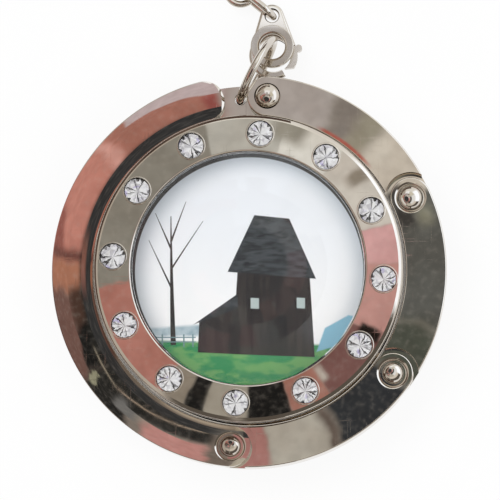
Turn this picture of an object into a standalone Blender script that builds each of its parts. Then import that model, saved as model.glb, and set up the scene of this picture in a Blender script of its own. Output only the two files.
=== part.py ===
"""Folding purse hook on a key-chain clip, modelled lying face up.

A round drum holds a domed picture in a bezel set with twelve crystals. Around it lie three
arc links and one long hook, riveted end to end with half laps, so that the ring folds open
in its own plane. A lug on the drum carries the first rivet and a ring, with a clasp and the
start of a chain. Metres, +Z out of the face, +Y towards the chain. The origin is the middle
of the rubber pad's underside.
"""

import math

import bmesh
import bpy
from mathutils import Matrix, Vector

# How finely round shapes are stepped
DRUM_STEPS = 72
PAD_STEPS = 56
HOLE_STEPS = 20
CUP_STEPS = 16
WIRE_SIDES = 8
RING_STEPS = 32
OVAL_END_STEPS = 10
RIVET_STEPS = 20
ARC_STEP_DEG = 5.0
FINE_ARC_STEP_DEG = 15.0
SHARP_ANGLE_DEG = 32.0

# Clearances that several pieces share
SEAT_GAP = 0.0001
LAP_CLEARANCE = 0.0001
PIVOT_CLEARANCE = 0.00008
HEAD_CLEARANCE = 0.00008
CUT_OVERRUN = 0.001
WELD_OVERLAP = 0.0006

# The folded ring of links and hook, round the drum
BEZEL_RADIUS = 0.0174
RING_CLEARANCE = 0.0003
LINK_WIDTH = 0.0046
LINK_BOTTOM = 0.0030
LINK_THICKNESS = 0.0032
LINK_CHAMFER = 0.0002
LINK_SPAN_DEG = 60.0
FIRST_PIVOT_DEG = 84.0
LINK_COUNT = 3
SHOULDER_CLEARANCE = 0.0006
HOOK_TIP_DEG = 98.1
HOOK_CROWN = 0.0004
CROWN_STEPS = 6
RING_INNER_RADIUS = BEZEL_RADIUS + RING_CLEARANCE
RING_OUTER_RADIUS = RING_INNER_RADIUS + LINK_WIDTH
PIVOT_RADIUS = (RING_OUTER_RADIUS + RING_INNER_RADIUS) / 2
EYE_RADIUS = (RING_OUTER_RADIUS - RING_INNER_RADIUS) / 2
SHOULDER_RADIUS = EYE_RADIUS + SHOULDER_CLEARANCE
LINK_TOP = LINK_BOTTOM + LINK_THICKNESS
LAP_TOP = LINK_BOTTOM + (LINK_THICKNESS - LAP_CLEARANCE) / 2
LAP_BOTTOM = LAP_TOP + LAP_CLEARANCE

# Drum
BEZEL_HEIGHT = 0.0084
BEZEL_WIDTH = 0.0042
BEZEL_CHAMFER = 0.00025
WINDOW_CHAMFER = 0.00015
WINDOW_FLOOR = 0.0044
GROOVE_DEPTH = 0.0007
GROOVE_CLEARANCE = 0.0003
WINDOW_RADIUS = BEZEL_RADIUS - BEZEL_WIDTH
GROOVE_RADIUS = BEZEL_RADIUS - GROOVE_DEPTH
DRUM_BOTTOM = 0.0006
DRUM_LIP = 0.0012
BACK_RECESS_HEIGHT = 0.0016
BACK_RECESS_RADIUS = BEZEL_RADIUS - DRUM_LIP

# Lug with its raised landing for the hook's tip
LUG_INSET = 0.0011
LUG_RISE = 0.00045
LUG_STEP_OFFSET = 0.0004
LANDING_OVERLAP_DEG = 5.0
LUG_CHAMFER = 0.00015
LUG_BLEND_DEG = 6.0
RING_HOLE_DEG = 92.906
RING_HOLE_INSET = 0.000275
RING_HOLE_RADIUS = 0.0008
LUG_RADIUS = RING_OUTER_RADIUS - LUG_INSET
LANDING_TOP = LAP_TOP + LUG_RISE

# Magnets that keep the ring shut
MAGNET_RADIUS = 0.0011
CASE_MAGNET_THICKNESS = 0.0009
HOOK_MAGNET_THICKNESS = 0.0006

# Rivets
SHANK_RADIUS = 0.00075
LARGE_HEAD_RADIUS = 0.00135
SMALL_HEAD_RADIUS = 0.0012
HEAD_HEIGHT = 0.0008
HEAD_STEPS = 5
FOOT_RADIUS = 0.00115
FOOT_HEIGHT = 0.0003
DISH_RADIUS = 0.00175
DISH_DEPTH = 0.0004
DISH_FLOOR_RADIUS = LARGE_HEAD_RADIUS + PIVOT_CLEARANCE
RIVET_HOLE_RADIUS = SHANK_RADIUS + PIVOT_CLEARANCE

# Back of the drum
PAD_INSET = 0.0017
PAD_THICKNESS = 0.0011
PAD_ROUNDING = 0.0002
PAD_RADIUS = BACK_RECESS_RADIUS - PAD_INSET

# Picture and its glass dome
PRINT_THICKNESS = 0.0002
DOME_RISE = 0.0016
DOME_SHOULDER_DROP = 0.0004
DOME_STEPS = 8
DOME_TOP = BEZEL_HEIGHT + DOME_RISE

# Crystals and their cups
STONE_COUNT = 12
FIRST_STONE_DEG = 84.8
STONE_RADIUS = 0.0014
STONE_CLEARANCE = 0.00007
STONE_TABLE_SHARE = 0.55
STONE_CROWN = 0.00045
STONE_GIRDLE = 0.00008
STONE_PAVILION = 0.0011
STONE_SIDES = 16
STONE_SINK = 0.00015
CUP_FLOOR_GAP = 0.00015
COLLAR_WIDTH = 0.00016
COLLAR_HEIGHT = 0.00012
STONE_PITCH_RADIUS = (BEZEL_RADIUS + WINDOW_RADIUS) / 2
CUP_RADIUS = STONE_RADIUS + STONE_CLEARANCE

# Ring through the lug, standing on the table
JUMP_RADIUS = 0.0040
JUMP_WIRE_RADIUS = 0.00045
JUMP_HEADING_DEG = 61.5
JUMP_FLOOR_GAP = 0.00005
JUMP_EYE_SHIFT = 0.00015
JUMP_SEAM_DEG = -60.0
RING_SEAM = 0.0001
JUMP_HEIGHT = JUMP_RADIUS + JUMP_WIRE_RADIUS + JUMP_FLOOR_GAP

# Trigger clasp hooked on that ring
CLASP_ASIDE = 0.0036
CLASP_AHEAD = 0.0056
CLASP_LOOP_RADIUS = 0.0028
CLASP_HOLE_RADIUS = 0.0019
CLASP_LENGTH = 0.0046
CLASP_HEADING_DEG = 91.9
CLASP_THICKNESS = 0.0011
CLASP_RIDE = 0.0002
CLASP_CHAMFER = 0.00015
CLASP_EYE_RADIUS = 0.00135
CLASP_EYE_HOLE = 0.00075
CLASP_NOSE_DEG = -62.0
CLASP_GAP = 0.00012
CLASP_BOTTOM = JUMP_FLOOR_GAP + 2 * JUMP_WIRE_RADIUS + CLASP_RIDE
CLASP_TOP = CLASP_BOTTOM + CLASP_THICKNESS

# Its lever, pin and spring
LEVER_WIDTH = 0.00075
LEVER_THICKNESS = 0.0009
LEVER_PIN_REACH = 0.00255
LEVER_PIN_DEG = 52.0
LEVER_SHANK_DEG = 24.0
TANG_THICKNESS = 0.0004
TANG_RADIUS = 0.00055
TANG_START_DEG = -20.0
TANG_END_DEG = 200.0
TANG_ROOT_DEG = 36.0
TAB_RADIUS = 0.0004
TAB_DEG = 14.0
TAB_REACH = 0.0030
PIN_RADIUS = 0.00028
PIN_RECESS = 0.00005
SLOT_CLEARANCE = 0.00008
SPRING_LEAF = 0.00012
SPRING_BEND_RADIUS = 0.00095
SPRING_START_DEG = 75.0
SPRING_END_DEG = 165.0
SLOT_START_DEG = 60.0
SLOT_END_DEG = 185.0
SLOT_HOLE_SIDE_DEG = 75.0
SLOT_OPEN_SIDE_DEG = 45.0
SPRING_ROOM_RADIUS = SPRING_BEND_RADIUS + SPRING_LEAF + CLASP_GAP

# Small ring lying on the clasp, with the standing ring through it
SMALL_RING_RADIUS = 0.00196
SMALL_RING_WIRE_RADIUS = 0.0005
SMALL_RING_OFFSET = 0.000444
SMALL_RING_SEAM_DEG = 20.0

# Chain of oval links, alternately on edge and flat
CHAIN_WIRE_RADIUS = 0.0004
CHAIN_END_RADIUS = 0.0016
CHAIN_STRAIGHT = 0.0016
CHAIN_SLACK = 0.0014
CHAIN_FLOOR_GAP = 0.00005
CHAIN_RIDE = 0.00072
CHAIN_HEADINGS_DEG = (140.0, 118.0, 110.0)
CHAIN_EYE_SHIFT = 0.0002
CHAIN_HEIGHT = CHAIN_END_RADIUS + CHAIN_WIRE_RADIUS + CHAIN_FLOOR_GAP
CHAIN_FLAT_HEIGHT = CHAIN_HEIGHT - CHAIN_RIDE

# Ring at the end of the chain
END_RING_RADIUS = 0.0054
END_RING_WIRE_RADIUS = 0.0006
END_RING_HEADING_DEG = 96.0
END_RING_RIDE = 0.0005
END_RING_SLACK = 0.0015
END_RING_SEAM_DEG = 30.0


def polar(radius, degrees, centre=(0, 0)):
    """A point at this distance and angle from centre."""
    turn = math.radians(degrees)
    return (centre[0] + radius * math.cos(turn), centre[1] + radius * math.sin(turn))


def arc(centre, radius, start, end, step=ARC_STEP_DEG):
    """Points along an arc, both ends included."""
    count = max(2, math.ceil(abs(end - start) / step))
    return [polar(radius, start + (end - start) * i / count, centre) for i in range(count + 1)]


def circle(centre, radius, steps=HOLE_STEPS):
    return [polar(radius, 360 * i / steps, centre) for i in range(steps)]


def finish(obj, colour, roughness, metallic, transmission=0.0):
    """Gives the object a material of its own."""
    material = bpy.data.materials.new(obj.name + "_finish")
    material.use_nodes = True
    shader = material.node_tree.nodes["Principled BSDF"]
    shader.inputs["Base Color"].default_value = (*colour, 1.0)
    shader.inputs["Roughness"].default_value = roughness
    shader.inputs["Metallic"].default_value = metallic
    shader.inputs["Transmission Weight"].default_value = transmission
    material.diffuse_color = (*colour, 1.0)
    obj.data.materials.append(material)
    return obj


def nickel(obj):
    return finish(obj, (0.62, 0.60, 0.57), 0.12, 1.0)


def object_of(name, mesh_edit, origin=(0, 0, 0)):
    """A new object from a bmesh in world places, with its own origin."""
    bmesh.ops.recalc_face_normals(mesh_edit, faces=mesh_edit.faces)
    mesh = bpy.data.meshes.new(name)
    mesh_edit.to_mesh(mesh)
    mesh_edit.free()
    mesh.transform(Matrix.Translation(-Vector(origin)))
    mesh.shade_smooth()
    mesh.set_sharp_from_angle(angle=math.radians(SHARP_ANGLE_DEG))
    obj = bpy.data.objects.new(name, mesh)
    obj.location = origin
    bpy.context.scene.collection.objects.link(obj)
    return obj


def add_prism(mesh_edit, outline, low, high):
    """Adds an upright prism over a closed outline to a bmesh."""
    base = mesh_edit.faces.new([mesh_edit.verts.new((x, y, low)) for x, y in outline])
    raised = bmesh.ops.extrude_face_region(mesh_edit, geom=[base])["geom"]
    lifted = [item for item in raised if isinstance(item, bmesh.types.BMVert)]
    bmesh.ops.translate(mesh_edit, vec=(0, 0, high - low), verts=lifted)


def prism(name, outline, low, high, origin=(0, 0, 0)):
    mesh_edit = bmesh.new()
    add_prism(mesh_edit, outline, low, high)
    return object_of(name, mesh_edit, origin)


def add_turned(mesh_edit, profile, centre, steps):
    """Adds a solid turned about an upright axis. The profile is a loop of (radius, height)."""
    rows = []
    for radius, height in profile:
        if radius == 0:
            rows.append([mesh_edit.verts.new((*centre, height))] * steps)
        else:
            places = circle(centre, radius, steps)
            rows.append([mesh_edit.verts.new((x, y, height)) for x, y in places])
    closes = profile[0][0] != 0
    pairs = list(zip(rows, rows[1:] + rows[:1] if closes else rows[1:]))
    for lower, upper in pairs:
        for i in range(steps):
            j = (i + 1) % steps
            corners = list(dict.fromkeys([lower[i], lower[j], upper[j], upper[i]]))
            if len(corners) > 2:
                mesh_edit.faces.new(corners)


def turned(name, profile, centre=(0, 0), steps=HOLE_STEPS):
    mesh_edit = bmesh.new()
    add_turned(mesh_edit, profile, centre, steps)
    return object_of(name, mesh_edit)


def wire(name, path, radius, across, origin, closed=True):
    """A round wire along a flat path. across is the normal of the path's plane."""
    mesh_edit = bmesh.new()
    across = Vector(across).normalized()
    points = [Vector(point) for point in path]
    last = len(points) - 1
    rows = []
    for i, point in enumerate(points):
        before = points[i - 1] if closed or i > 0 else point
        after = points[(i + 1) % len(points)] if closed or i < last else point
        outward = (after - before).normalized().cross(across)
        turns = [2 * math.pi * k / WIRE_SIDES for k in range(WIRE_SIDES)]
        ring = [point + radius * (math.cos(t) * outward + math.sin(t) * across) for t in turns]
        rows.append([mesh_edit.verts.new(place) for place in ring])
    for lower, upper in zip(rows, rows[1:] + rows[:1] if closed else rows[1:]):
        for k in range(WIRE_SIDES):
            m = (k + 1) % WIRE_SIDES
            mesh_edit.faces.new([lower[k], lower[m], upper[m], upper[k]])
    if not closed:
        mesh_edit.faces.new(rows[0])
        mesh_edit.faces.new(rows[-1])
    return object_of(name, mesh_edit, origin)


def modifier_boolean(obj, tool, operation):
    tool.hide_render = True
    tool.display_type = "WIRE"
    step = obj.modifiers.new(tool.name, "BOOLEAN")
    step.operation = operation
    step.solver = "EXACT"
    step.object = tool


def cut(obj, *tools):
    for tool in tools:
        modifier_boolean(obj, tool, "DIFFERENCE")


def join(obj, *tools):
    for tool in tools:
        modifier_boolean(obj, tool, "UNION")


def chamfer(obj, width):
    step = obj.modifiers.new("chamfer", "BEVEL")
    step.width = width
    step.segments = 1
    step.limit_method = "ANGLE"
    step.angle_limit = math.radians(SHARP_ANGLE_DEG)


def hang_on(child, parent):
    """Parents a piece without moving it."""
    bpy.context.view_layer.update()
    child.parent = parent
    child.matrix_parent_inverse = parent.matrix_world.inverted()


def pivot(number):
    """The place of a rivet, counted clockwise from 1."""
    return polar(PIVOT_RADIUS, FIRST_PIVOT_DEG - LINK_SPAN_DEG * (number - 1))


def band(start, end):
    """The outline of a stretch of the ring, with a round eye at each end, drawn clockwise."""
    head = polar(PIVOT_RADIUS, start)
    tail = polar(PIVOT_RADIUS, end)
    outline = arc((0, 0), RING_OUTER_RADIUS, start, end)
    outline += arc(tail, EYE_RADIUS, end, end - 180, FINE_ARC_STEP_DEG)[1:-1]
    outline += arc((0, 0), RING_INNER_RADIUS, end, start)
    outline += arc(head, EYE_RADIUS, start + 180, start, FINE_ARC_STEP_DEG)[1:-1]
    return outline


def lap_cutter(name, centre, upper):
    """Removes the upper or the lower half of a link's end, up to a round shoulder."""
    low = LAP_TOP if upper else LINK_BOTTOM - CUT_OVERRUN
    high = LINK_TOP + CUT_OVERRUN if upper else LAP_BOTTOM
    return prism(name, circle(centre, SHOULDER_RADIUS, RING_STEPS), low, high)


def rivet_hole(name, centre):
    low = LINK_BOTTOM - CUT_OVERRUN
    return prism(name, circle(centre, RIVET_HOLE_RADIUS), low, LINK_TOP + CUT_OVERRUN)


def dish_cutter(name, centre):
    """The shallow dished seat of a rivet's head."""
    floor = LINK_TOP - DISH_DEPTH
    rim = LINK_TOP + CUT_OVERRUN
    profile = [(0, floor), (DISH_FLOOR_RADIUS, floor), (DISH_RADIUS, LINK_TOP), (DISH_RADIUS, rim), (0, rim)]
    return turned(name, profile, centre)


def crown_cutter(name):
    """Leaves a ring's upper face crowned: highest along its middle, lower at both edges."""
    rim = LINK_TOP + CUT_OVERRUN
    near, far = RING_INNER_RADIUS - CUT_OVERRUN, RING_OUTER_RADIUS + CUT_OVERRUN
    edge = LINK_TOP - HOOK_CROWN
    profile = [(near, rim), (near, edge)]
    for i in range(CROWN_STEPS + 1):
        across = 2 * i / CROWN_STEPS - 1
        profile.append((PIVOT_RADIUS + across * EYE_RADIUS, LINK_TOP - HOOK_CROWN * across**2))
    return turned(name, profile + [(far, edge), (far, rim)], steps=DRUM_STEPS)


def make_link(number):
    """An arc link: its first eye is the upper half, its last eye the lower half."""
    start = FIRST_PIVOT_DEG - LINK_SPAN_DEG * (number - 1)
    head, tail = pivot(number), pivot(number + 1)
    name = f"link_{number}"
    link = prism(name, band(start, start - LINK_SPAN_DEG), LINK_BOTTOM, LINK_TOP, (*head, 0))
    chamfer(link, LINK_CHAMFER)
    cut(link, lap_cutter(name + "_head_lap", head, False), lap_cutter(name + "_tail_lap", tail, True))
    cut(link, rivet_hole(name + "_head_hole", head), rivet_hole(name + "_tail_hole", tail))
    if number > 1:
        cut(link, dish_cutter(name + "_dish", head))
    return nickel(link)


def tip_centre_deg():
    """Where the hook's round tip is centred, so that its end lies at the tip's angle."""
    return HOOK_TIP_DEG + math.degrees(math.asin(EYE_RADIUS / PIVOT_RADIUS)) - 360


def landing_end_deg():
    return tip_centre_deg() + 360 + LANDING_OVERLAP_DEG


def magnet_place():
    return polar((LUG_RADIUS + RING_INNER_RADIUS) / 2, tip_centre_deg())


def make_hook():
    """The long arc that holds the bag. Its tip is relieved below to lie over the lug's landing."""
    start = FIRST_PIVOT_DEG - LINK_SPAN_DEG * LINK_COUNT
    head = pivot(LINK_COUNT + 1)
    hook = prism("hook_arm", band(start, tip_centre_deg()), LINK_BOTTOM, LINK_TOP, (*head, 0))
    chamfer(hook, LINK_CHAMFER)
    cut(hook, lap_cutter("hook_head_lap", head, False), rivet_hole("hook_head_hole", head))
    cut(hook, dish_cutter("hook_dish", head), crown_cutter("hook_crown"))
    relief = prism(
        "hook_tip_relief",
        circle(polar(PIVOT_RADIUS, tip_centre_deg()), SHOULDER_RADIUS, RING_STEPS),
        LINK_BOTTOM - CUT_OVERRUN,
        LANDING_TOP + LAP_CLEARANCE,
    )
    pocket_radius = MAGNET_RADIUS + SEAT_GAP
    pocket_top = LANDING_TOP + HOOK_MAGNET_THICKNESS + 3 * SEAT_GAP
    pocket = disc("hook_magnet_pocket", magnet_place(), pocket_radius, LINK_BOTTOM, pocket_top)
    cut(hook, relief, pocket)
    return nickel(hook)


def disc(name, centre, radius, low, high, steps=HOLE_STEPS):
    return turned(name, [(0, low), (radius, low), (radius, high), (0, high)], centre, steps)


def make_rivet(number, head_radius, seat):
    """A domed head on a plain shank, spread into a flat foot below."""
    centre = pivot(number)
    foot_top = LINK_BOTTOM - HEAD_CLEARANCE
    underside = seat + HEAD_CLEARANCE
    profile = [(0, foot_top - FOOT_HEIGHT), (FOOT_RADIUS, foot_top - FOOT_HEIGHT)]
    profile += [(FOOT_RADIUS, foot_top), (SHANK_RADIUS, foot_top), (SHANK_RADIUS, underside)]
    for i in range(HEAD_STEPS):
        turn = math.pi / 2 * i / HEAD_STEPS
        profile.append((head_radius * math.cos(turn), underside + HEAD_HEIGHT * math.sin(turn)))
    profile.append((0, underside + HEAD_HEIGHT))
    return nickel(turned(f"rivet_{number}", profile, centre, RIVET_STEPS))


def drum_profile():
    """Half the drum's section, from the back recess round the rim to the window's floor."""
    recess_top = DRUM_BOTTOM + BACK_RECESS_HEIGHT
    groove_low = LINK_BOTTOM - GROOVE_CLEARANCE
    groove_high = LINK_TOP + GROOVE_CLEARANCE
    return [
        (0, recess_top),
        (BACK_RECESS_RADIUS, recess_top),
        (BACK_RECESS_RADIUS, DRUM_BOTTOM),
        (BEZEL_RADIUS - BEZEL_CHAMFER, DRUM_BOTTOM),
        (BEZEL_RADIUS, DRUM_BOTTOM + BEZEL_CHAMFER),
        (BEZEL_RADIUS, groove_low - BEZEL_CHAMFER),
        (GROOVE_RADIUS, groove_low),
        (GROOVE_RADIUS, groove_high),
        (BEZEL_RADIUS, groove_high),
        (BEZEL_RADIUS, BEZEL_HEIGHT - BEZEL_CHAMFER),
        (BEZEL_RADIUS - BEZEL_CHAMFER, BEZEL_HEIGHT),
        (WINDOW_RADIUS + WINDOW_CHAMFER, BEZEL_HEIGHT),
        (WINDOW_RADIUS, BEZEL_HEIGHT - WINDOW_CHAMFER),
        (WINDOW_RADIUS, WINDOW_FLOOR),
        (0, WINDOW_FLOOR),
    ]


def lug_outline():
    """The lug's plan: a stretch of ring from the landing to the first rivet, and its eye."""
    eye = pivot(1)
    root = GROOVE_RADIUS - WELD_OVERLAP
    outline = arc((0, 0), LUG_RADIUS, landing_end_deg(), FIRST_PIVOT_DEG + LUG_BLEND_DEG)
    outline += arc(eye, EYE_RADIUS, FIRST_PIVOT_DEG + 90, FIRST_PIVOT_DEG - 180, FINE_ARC_STEP_DEG)[2:]
    outline += arc((0, 0), root, FIRST_PIVOT_DEG, landing_end_deg())
    return outline


def make_lug():
    """The lug as a tool for the drum's casting: raised landing, low eye, ring hole."""
    lug = prism("lug", lug_outline(), LINK_BOTTOM, LANDING_TOP)
    chamfer(lug, LUG_CHAMFER)
    far = RING_OUTER_RADIUS + CUT_OVERRUN
    step = [(-LUG_STEP_OFFSET, 0), (BEZEL_RADIUS, 0), (BEZEL_RADIUS, far), (-LUG_STEP_OFFSET, far)]
    cut(lug, prism("lug_step", step, LAP_TOP, LANDING_TOP + CUT_OVERRUN))
    return lug


def ring_hole_place():
    return polar(PIVOT_RADIUS - RING_HOLE_INSET, RING_HOLE_DEG)


def stone_centres():
    angles = [FIRST_STONE_DEG - 360 * i / STONE_COUNT for i in range(STONE_COUNT)]
    return [polar(STONE_PITCH_RADIUS, angle) for angle in angles]


def many_turned(name, profile, steps):
    """The same turned shape at every crystal, as one tool."""
    mesh_edit = bmesh.new()
    for centre in stone_centres():
        add_turned(mesh_edit, profile, centre, steps)
    return object_of(name, mesh_edit)


def make_case():
    """The main casting: drum, bezel, twelve cups and the lug."""
    case = turned("case_casting", drum_profile(), steps=DRUM_STEPS)
    join(case, make_lug())
    collar = CUP_RADIUS + COLLAR_WIDTH
    foot = BEZEL_HEIGHT - COLLAR_HEIGHT
    rim = BEZEL_HEIGHT + COLLAR_HEIGHT
    cup_floor = BEZEL_HEIGHT - STONE_SINK - STONE_GIRDLE - STONE_PAVILION - CUP_FLOOR_GAP
    join(case, many_turned("cup_collars", [(0, foot), (collar, foot), (collar, rim), (0, rim)], CUP_STEPS))
    mouth = rim + CUT_OVERRUN
    cup = [(0, cup_floor), (CUP_RADIUS, cup_floor), (CUP_RADIUS, mouth), (0, mouth)]
    cut(case, many_turned("cup_holes", cup, CUP_STEPS))
    cut(case, disc("ring_hole", ring_hole_place(), RING_HOLE_RADIUS, 0, BEZEL_HEIGHT))
    cut(case, disc("lug_rivet_hole", pivot(1), RIVET_HOLE_RADIUS, 0, BEZEL_HEIGHT))
    magnet_floor = LANDING_TOP - CASE_MAGNET_THICKNESS - 2 * SEAT_GAP
    pocket_radius = MAGNET_RADIUS + SEAT_GAP
    cut(case, disc("case_magnet_pocket", magnet_place(), pocket_radius, magnet_floor, BEZEL_HEIGHT))
    return nickel(case)


def make_back():
    """The plate that closes the back, and the rubber pad in its recess."""
    low = DRUM_BOTTOM + SEAT_GAP
    high = DRUM_BOTTOM + BACK_RECESS_HEIGHT - SEAT_GAP
    radius = BACK_RECESS_RADIUS - SEAT_GAP
    cover = disc("back_cover", (0, 0), radius, low, high, PAD_STEPS)
    recess_radius = PAD_RADIUS + SEAT_GAP
    recess_top = PAD_THICKNESS + SEAT_GAP
    cut(cover, disc("pad_recess", (0, 0), recess_radius, -CUT_OVERRUN, recess_top, PAD_STEPS))
    edge = PAD_RADIUS - PAD_ROUNDING
    profile = [(0, 0), (edge, 0), (PAD_RADIUS, PAD_ROUNDING), (PAD_RADIUS, PAD_THICKNESS)]
    pad = turned("back_pad", profile + [(0, PAD_THICKNESS)], steps=PAD_STEPS)
    return nickel(cover), finish(pad, (0.02, 0.02, 0.022), 0.8, 0.0)


def make_picture():
    """The printed disc and the clear dome over it."""
    low = WINDOW_FLOOR + SEAT_GAP
    high = low + PRINT_THICKNESS
    radius = WINDOW_RADIUS - SEAT_GAP
    picture = disc("printed_disc", (0, 0), radius, low, high, PAD_STEPS)
    base = high + SEAT_GAP
    shoulder = BEZEL_HEIGHT - DOME_SHOULDER_DROP
    rise = DOME_TOP - shoulder
    curve = (radius**2 + rise**2) / (2 * rise)
    profile = [(0, base), (radius, base), (radius, shoulder)]
    for i in range(1, DOME_STEPS):
        reach = radius * math.cos(math.pi / 2 * i / DOME_STEPS)
        profile.append((reach, DOME_TOP - curve + math.sqrt(curve**2 - reach**2)))
    dome = turned("dome_lens", profile + [(0, DOME_TOP)], steps=PAD_STEPS)
    return finish(picture, (0.72, 0.78, 0.84), 0.5, 0.0), finish(dome, (1, 1, 1), 0.0, 0.0, 1.0)


def make_stones():
    """Brilliant-cut crystals: table, crown, girdle and a pointed back."""
    made = []
    girdle_low = BEZEL_HEIGHT - STONE_SINK - STONE_GIRDLE
    girdle_high = BEZEL_HEIGHT - STONE_SINK
    for i, centre in enumerate(stone_centres()):
        mesh_edit = bmesh.new()
        rim = circle(centre, STONE_RADIUS, STONE_SIDES)
        table = circle(centre, STONE_RADIUS * STONE_TABLE_SHARE, STONE_SIDES // 2)
        low = [mesh_edit.verts.new((*place, girdle_low)) for place in rim]
        high = [mesh_edit.verts.new((*place, girdle_high)) for place in rim]
        top = [mesh_edit.verts.new((*place, girdle_high + STONE_CROWN)) for place in table]
        culet = mesh_edit.verts.new((*centre, girdle_low - STONE_PAVILION))
        mesh_edit.faces.new(top)
        for k in range(STONE_SIDES):
            after = (k + 1) % STONE_SIDES
            mesh_edit.faces.new([low[k], low[after], high[after], high[k]])
            mesh_edit.faces.new([low[after], low[k], culet])
        for k, corner in enumerate(top):
            left, middle, right = high[2 * k - 1], high[2 * k], high[(2 * k + 1) % STONE_SIDES]
            mesh_edit.faces.new([corner, left, middle])
            mesh_edit.faces.new([corner, middle, right])
            mesh_edit.faces.new([corner, right, top[(k + 1) % len(top)]])
        stone = object_of(f"stone_{i + 1:02d}", mesh_edit)
        stone.data.shade_flat()
        made.append(finish(stone, (1, 1, 1), 0.0, 0.0, 1.0))
    return made


def make_magnets():
    case_high = LANDING_TOP - SEAT_GAP
    case_low = case_high - CASE_MAGNET_THICKNESS
    hook_low = LANDING_TOP + 2 * SEAT_GAP
    hook_high = hook_low + HOOK_MAGNET_THICKNESS
    case_magnet = disc("case_magnet", magnet_place(), MAGNET_RADIUS, case_low, case_high)
    hook_magnet = disc("hook_magnet", magnet_place(), MAGNET_RADIUS, hook_low, hook_high)
    return nickel(case_magnet), nickel(hook_magnet)


def split_ring_path(centre, radius, along, up, seam_deg):
    """A bent ring's path in the plane of along and up, with a fine seam between its ends."""
    half_seam = math.degrees(RING_SEAM / radius) / 2
    first = seam_deg + half_seam
    last = seam_deg + 360 - half_seam
    path = []
    for i in range(RING_STEPS + 1):
        turn = math.radians(first + (last - first) * i / RING_STEPS)
        path.append(Vector(centre) + radius * (math.cos(turn) * along + math.sin(turn) * up))
    return path


def jump_heading():
    return Vector((*polar(1, JUMP_HEADING_DEG), 0))


def jump_place(reach, height):
    """A point in the standing ring's plane, reach away from the lug's hole."""
    return Vector((*ring_hole_place(), height)) + reach * jump_heading()


def make_jump_ring():
    along, up = jump_heading(), Vector((0, 0, 1))
    centre = jump_place(JUMP_RADIUS - JUMP_EYE_SHIFT, JUMP_HEIGHT)
    path = split_ring_path(centre, JUMP_RADIUS, along, up, JUMP_SEAM_DEG)
    hole = (*ring_hole_place(), 0)
    return nickel(wire("jump_ring", path, JUMP_WIRE_RADIUS, along.cross(up), hole, closed=False))


def small_ring_height():
    return CLASP_TOP + SEAT_GAP + SMALL_RING_WIRE_RADIUS


def make_small_ring():
    """It lies where the standing ring's far side passes through it."""
    height = small_ring_height()
    below = height - JUMP_HEIGHT
    reach = JUMP_RADIUS - JUMP_EYE_SHIFT + math.sqrt(JUMP_RADIUS**2 - below**2)
    crossing = jump_place(reach, height)
    centre = jump_place(reach - SMALL_RING_OFFSET, height)
    flat = (Vector((1, 0, 0)), Vector((0, 1, 0)))
    path = split_ring_path(centre, SMALL_RING_RADIUS, *flat, SMALL_RING_SEAM_DEG)
    ring = wire("small_ring", path, SMALL_RING_WIRE_RADIUS, (0, 0, 1), crossing, closed=False)
    return nickel(ring)


def clasp_centre():
    """The middle of the claw's hole."""
    x, y = ring_hole_place()
    return x + CLASP_ASIDE, y + CLASP_AHEAD


def clasp_point(reach, degrees):
    """A point round the clasp's loop. 90 degrees is towards its eye."""
    return polar(reach, degrees + CLASP_HEADING_DEG - 90, clasp_centre())


def clasp_arc(reach, start, end, step=ARC_STEP_DEG):
    turn = CLASP_HEADING_DEG - 90
    return arc(clasp_centre(), reach, start + turn, end + turn, step)


def clasp_eye():
    return clasp_point(CLASP_LENGTH, 90)


def make_clasp_body():
    """The claw: a teardrop with a round hole, open at one side for the lever."""
    taper = math.degrees(math.asin((CLASP_LOOP_RADIUS - CLASP_EYE_RADIUS) / CLASP_LENGTH))
    turn = CLASP_HEADING_DEG - 90
    outline = clasp_arc(CLASP_LOOP_RADIUS, 180 - taper, 360 + taper, 2 * ARC_STEP_DEG)
    outline += arc(clasp_eye(), CLASP_EYE_RADIUS, taper + turn, 180 - taper + turn, FINE_ARC_STEP_DEG)
    body = prism("clasp_body", outline, CLASP_BOTTOM, CLASP_TOP, (*clasp_centre(), 0))
    chamfer(body, CLASP_CHAMFER)
    low, high = CLASP_BOTTOM - CUT_OVERRUN, CLASP_TOP + CUT_OVERRUN
    hole = disc("clasp_hole", clasp_centre(), CLASP_HOLE_RADIUS, low, high, RING_STEPS)
    eye = disc("clasp_eye_hole", clasp_eye(), CLASP_EYE_HOLE, low, high)
    inner = CLASP_HOLE_RADIUS - CUT_OVERRUN
    outer = CLASP_LOOP_RADIUS + CUT_OVERRUN
    gate = clasp_arc(outer, CLASP_NOSE_DEG, LEVER_SHANK_DEG)
    gate += clasp_arc(inner, LEVER_SHANK_DEG, CLASP_NOSE_DEG)
    middle = (CLASP_BOTTOM + CLASP_TOP) / 2
    half_slot = TANG_THICKNESS / 2 + SLOT_CLEARANCE
    cut(body, hole, eye, prism("clasp_gate", gate, low, high))
    slot = prism("clasp_slot", slot_outline(), middle - half_slot, middle + half_slot)
    pin_hole = disc("clasp_pin_hole", lever_pin(), PIN_RADIUS + PIVOT_CLEARANCE, low, high)
    cut(body, slot, pin_hole)
    return nickel(body)


def lever_pin():
    return clasp_point(LEVER_PIN_REACH, LEVER_PIN_DEG)


def slot_outline():
    """The slot in the claw's neck: room for the tang's swing and for the spring beside it."""
    turn = CLASP_HEADING_DEG - 90
    start, end = SLOT_START_DEG + turn, SLOT_END_DEG + turn
    low_side = LEVER_SHANK_DEG - ARC_STEP_DEG
    outline = arc(lever_pin(), SPRING_ROOM_RADIUS, start, end, FINE_ARC_STEP_DEG)
    outline += clasp_arc(CLASP_HOLE_RADIUS - CLASP_GAP, SLOT_HOLE_SIDE_DEG, low_side)
    outline += clasp_arc(CLASP_LOOP_RADIUS + CUT_OVERRUN, low_side, SLOT_OPEN_SIDE_DEG)
    return outline


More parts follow.
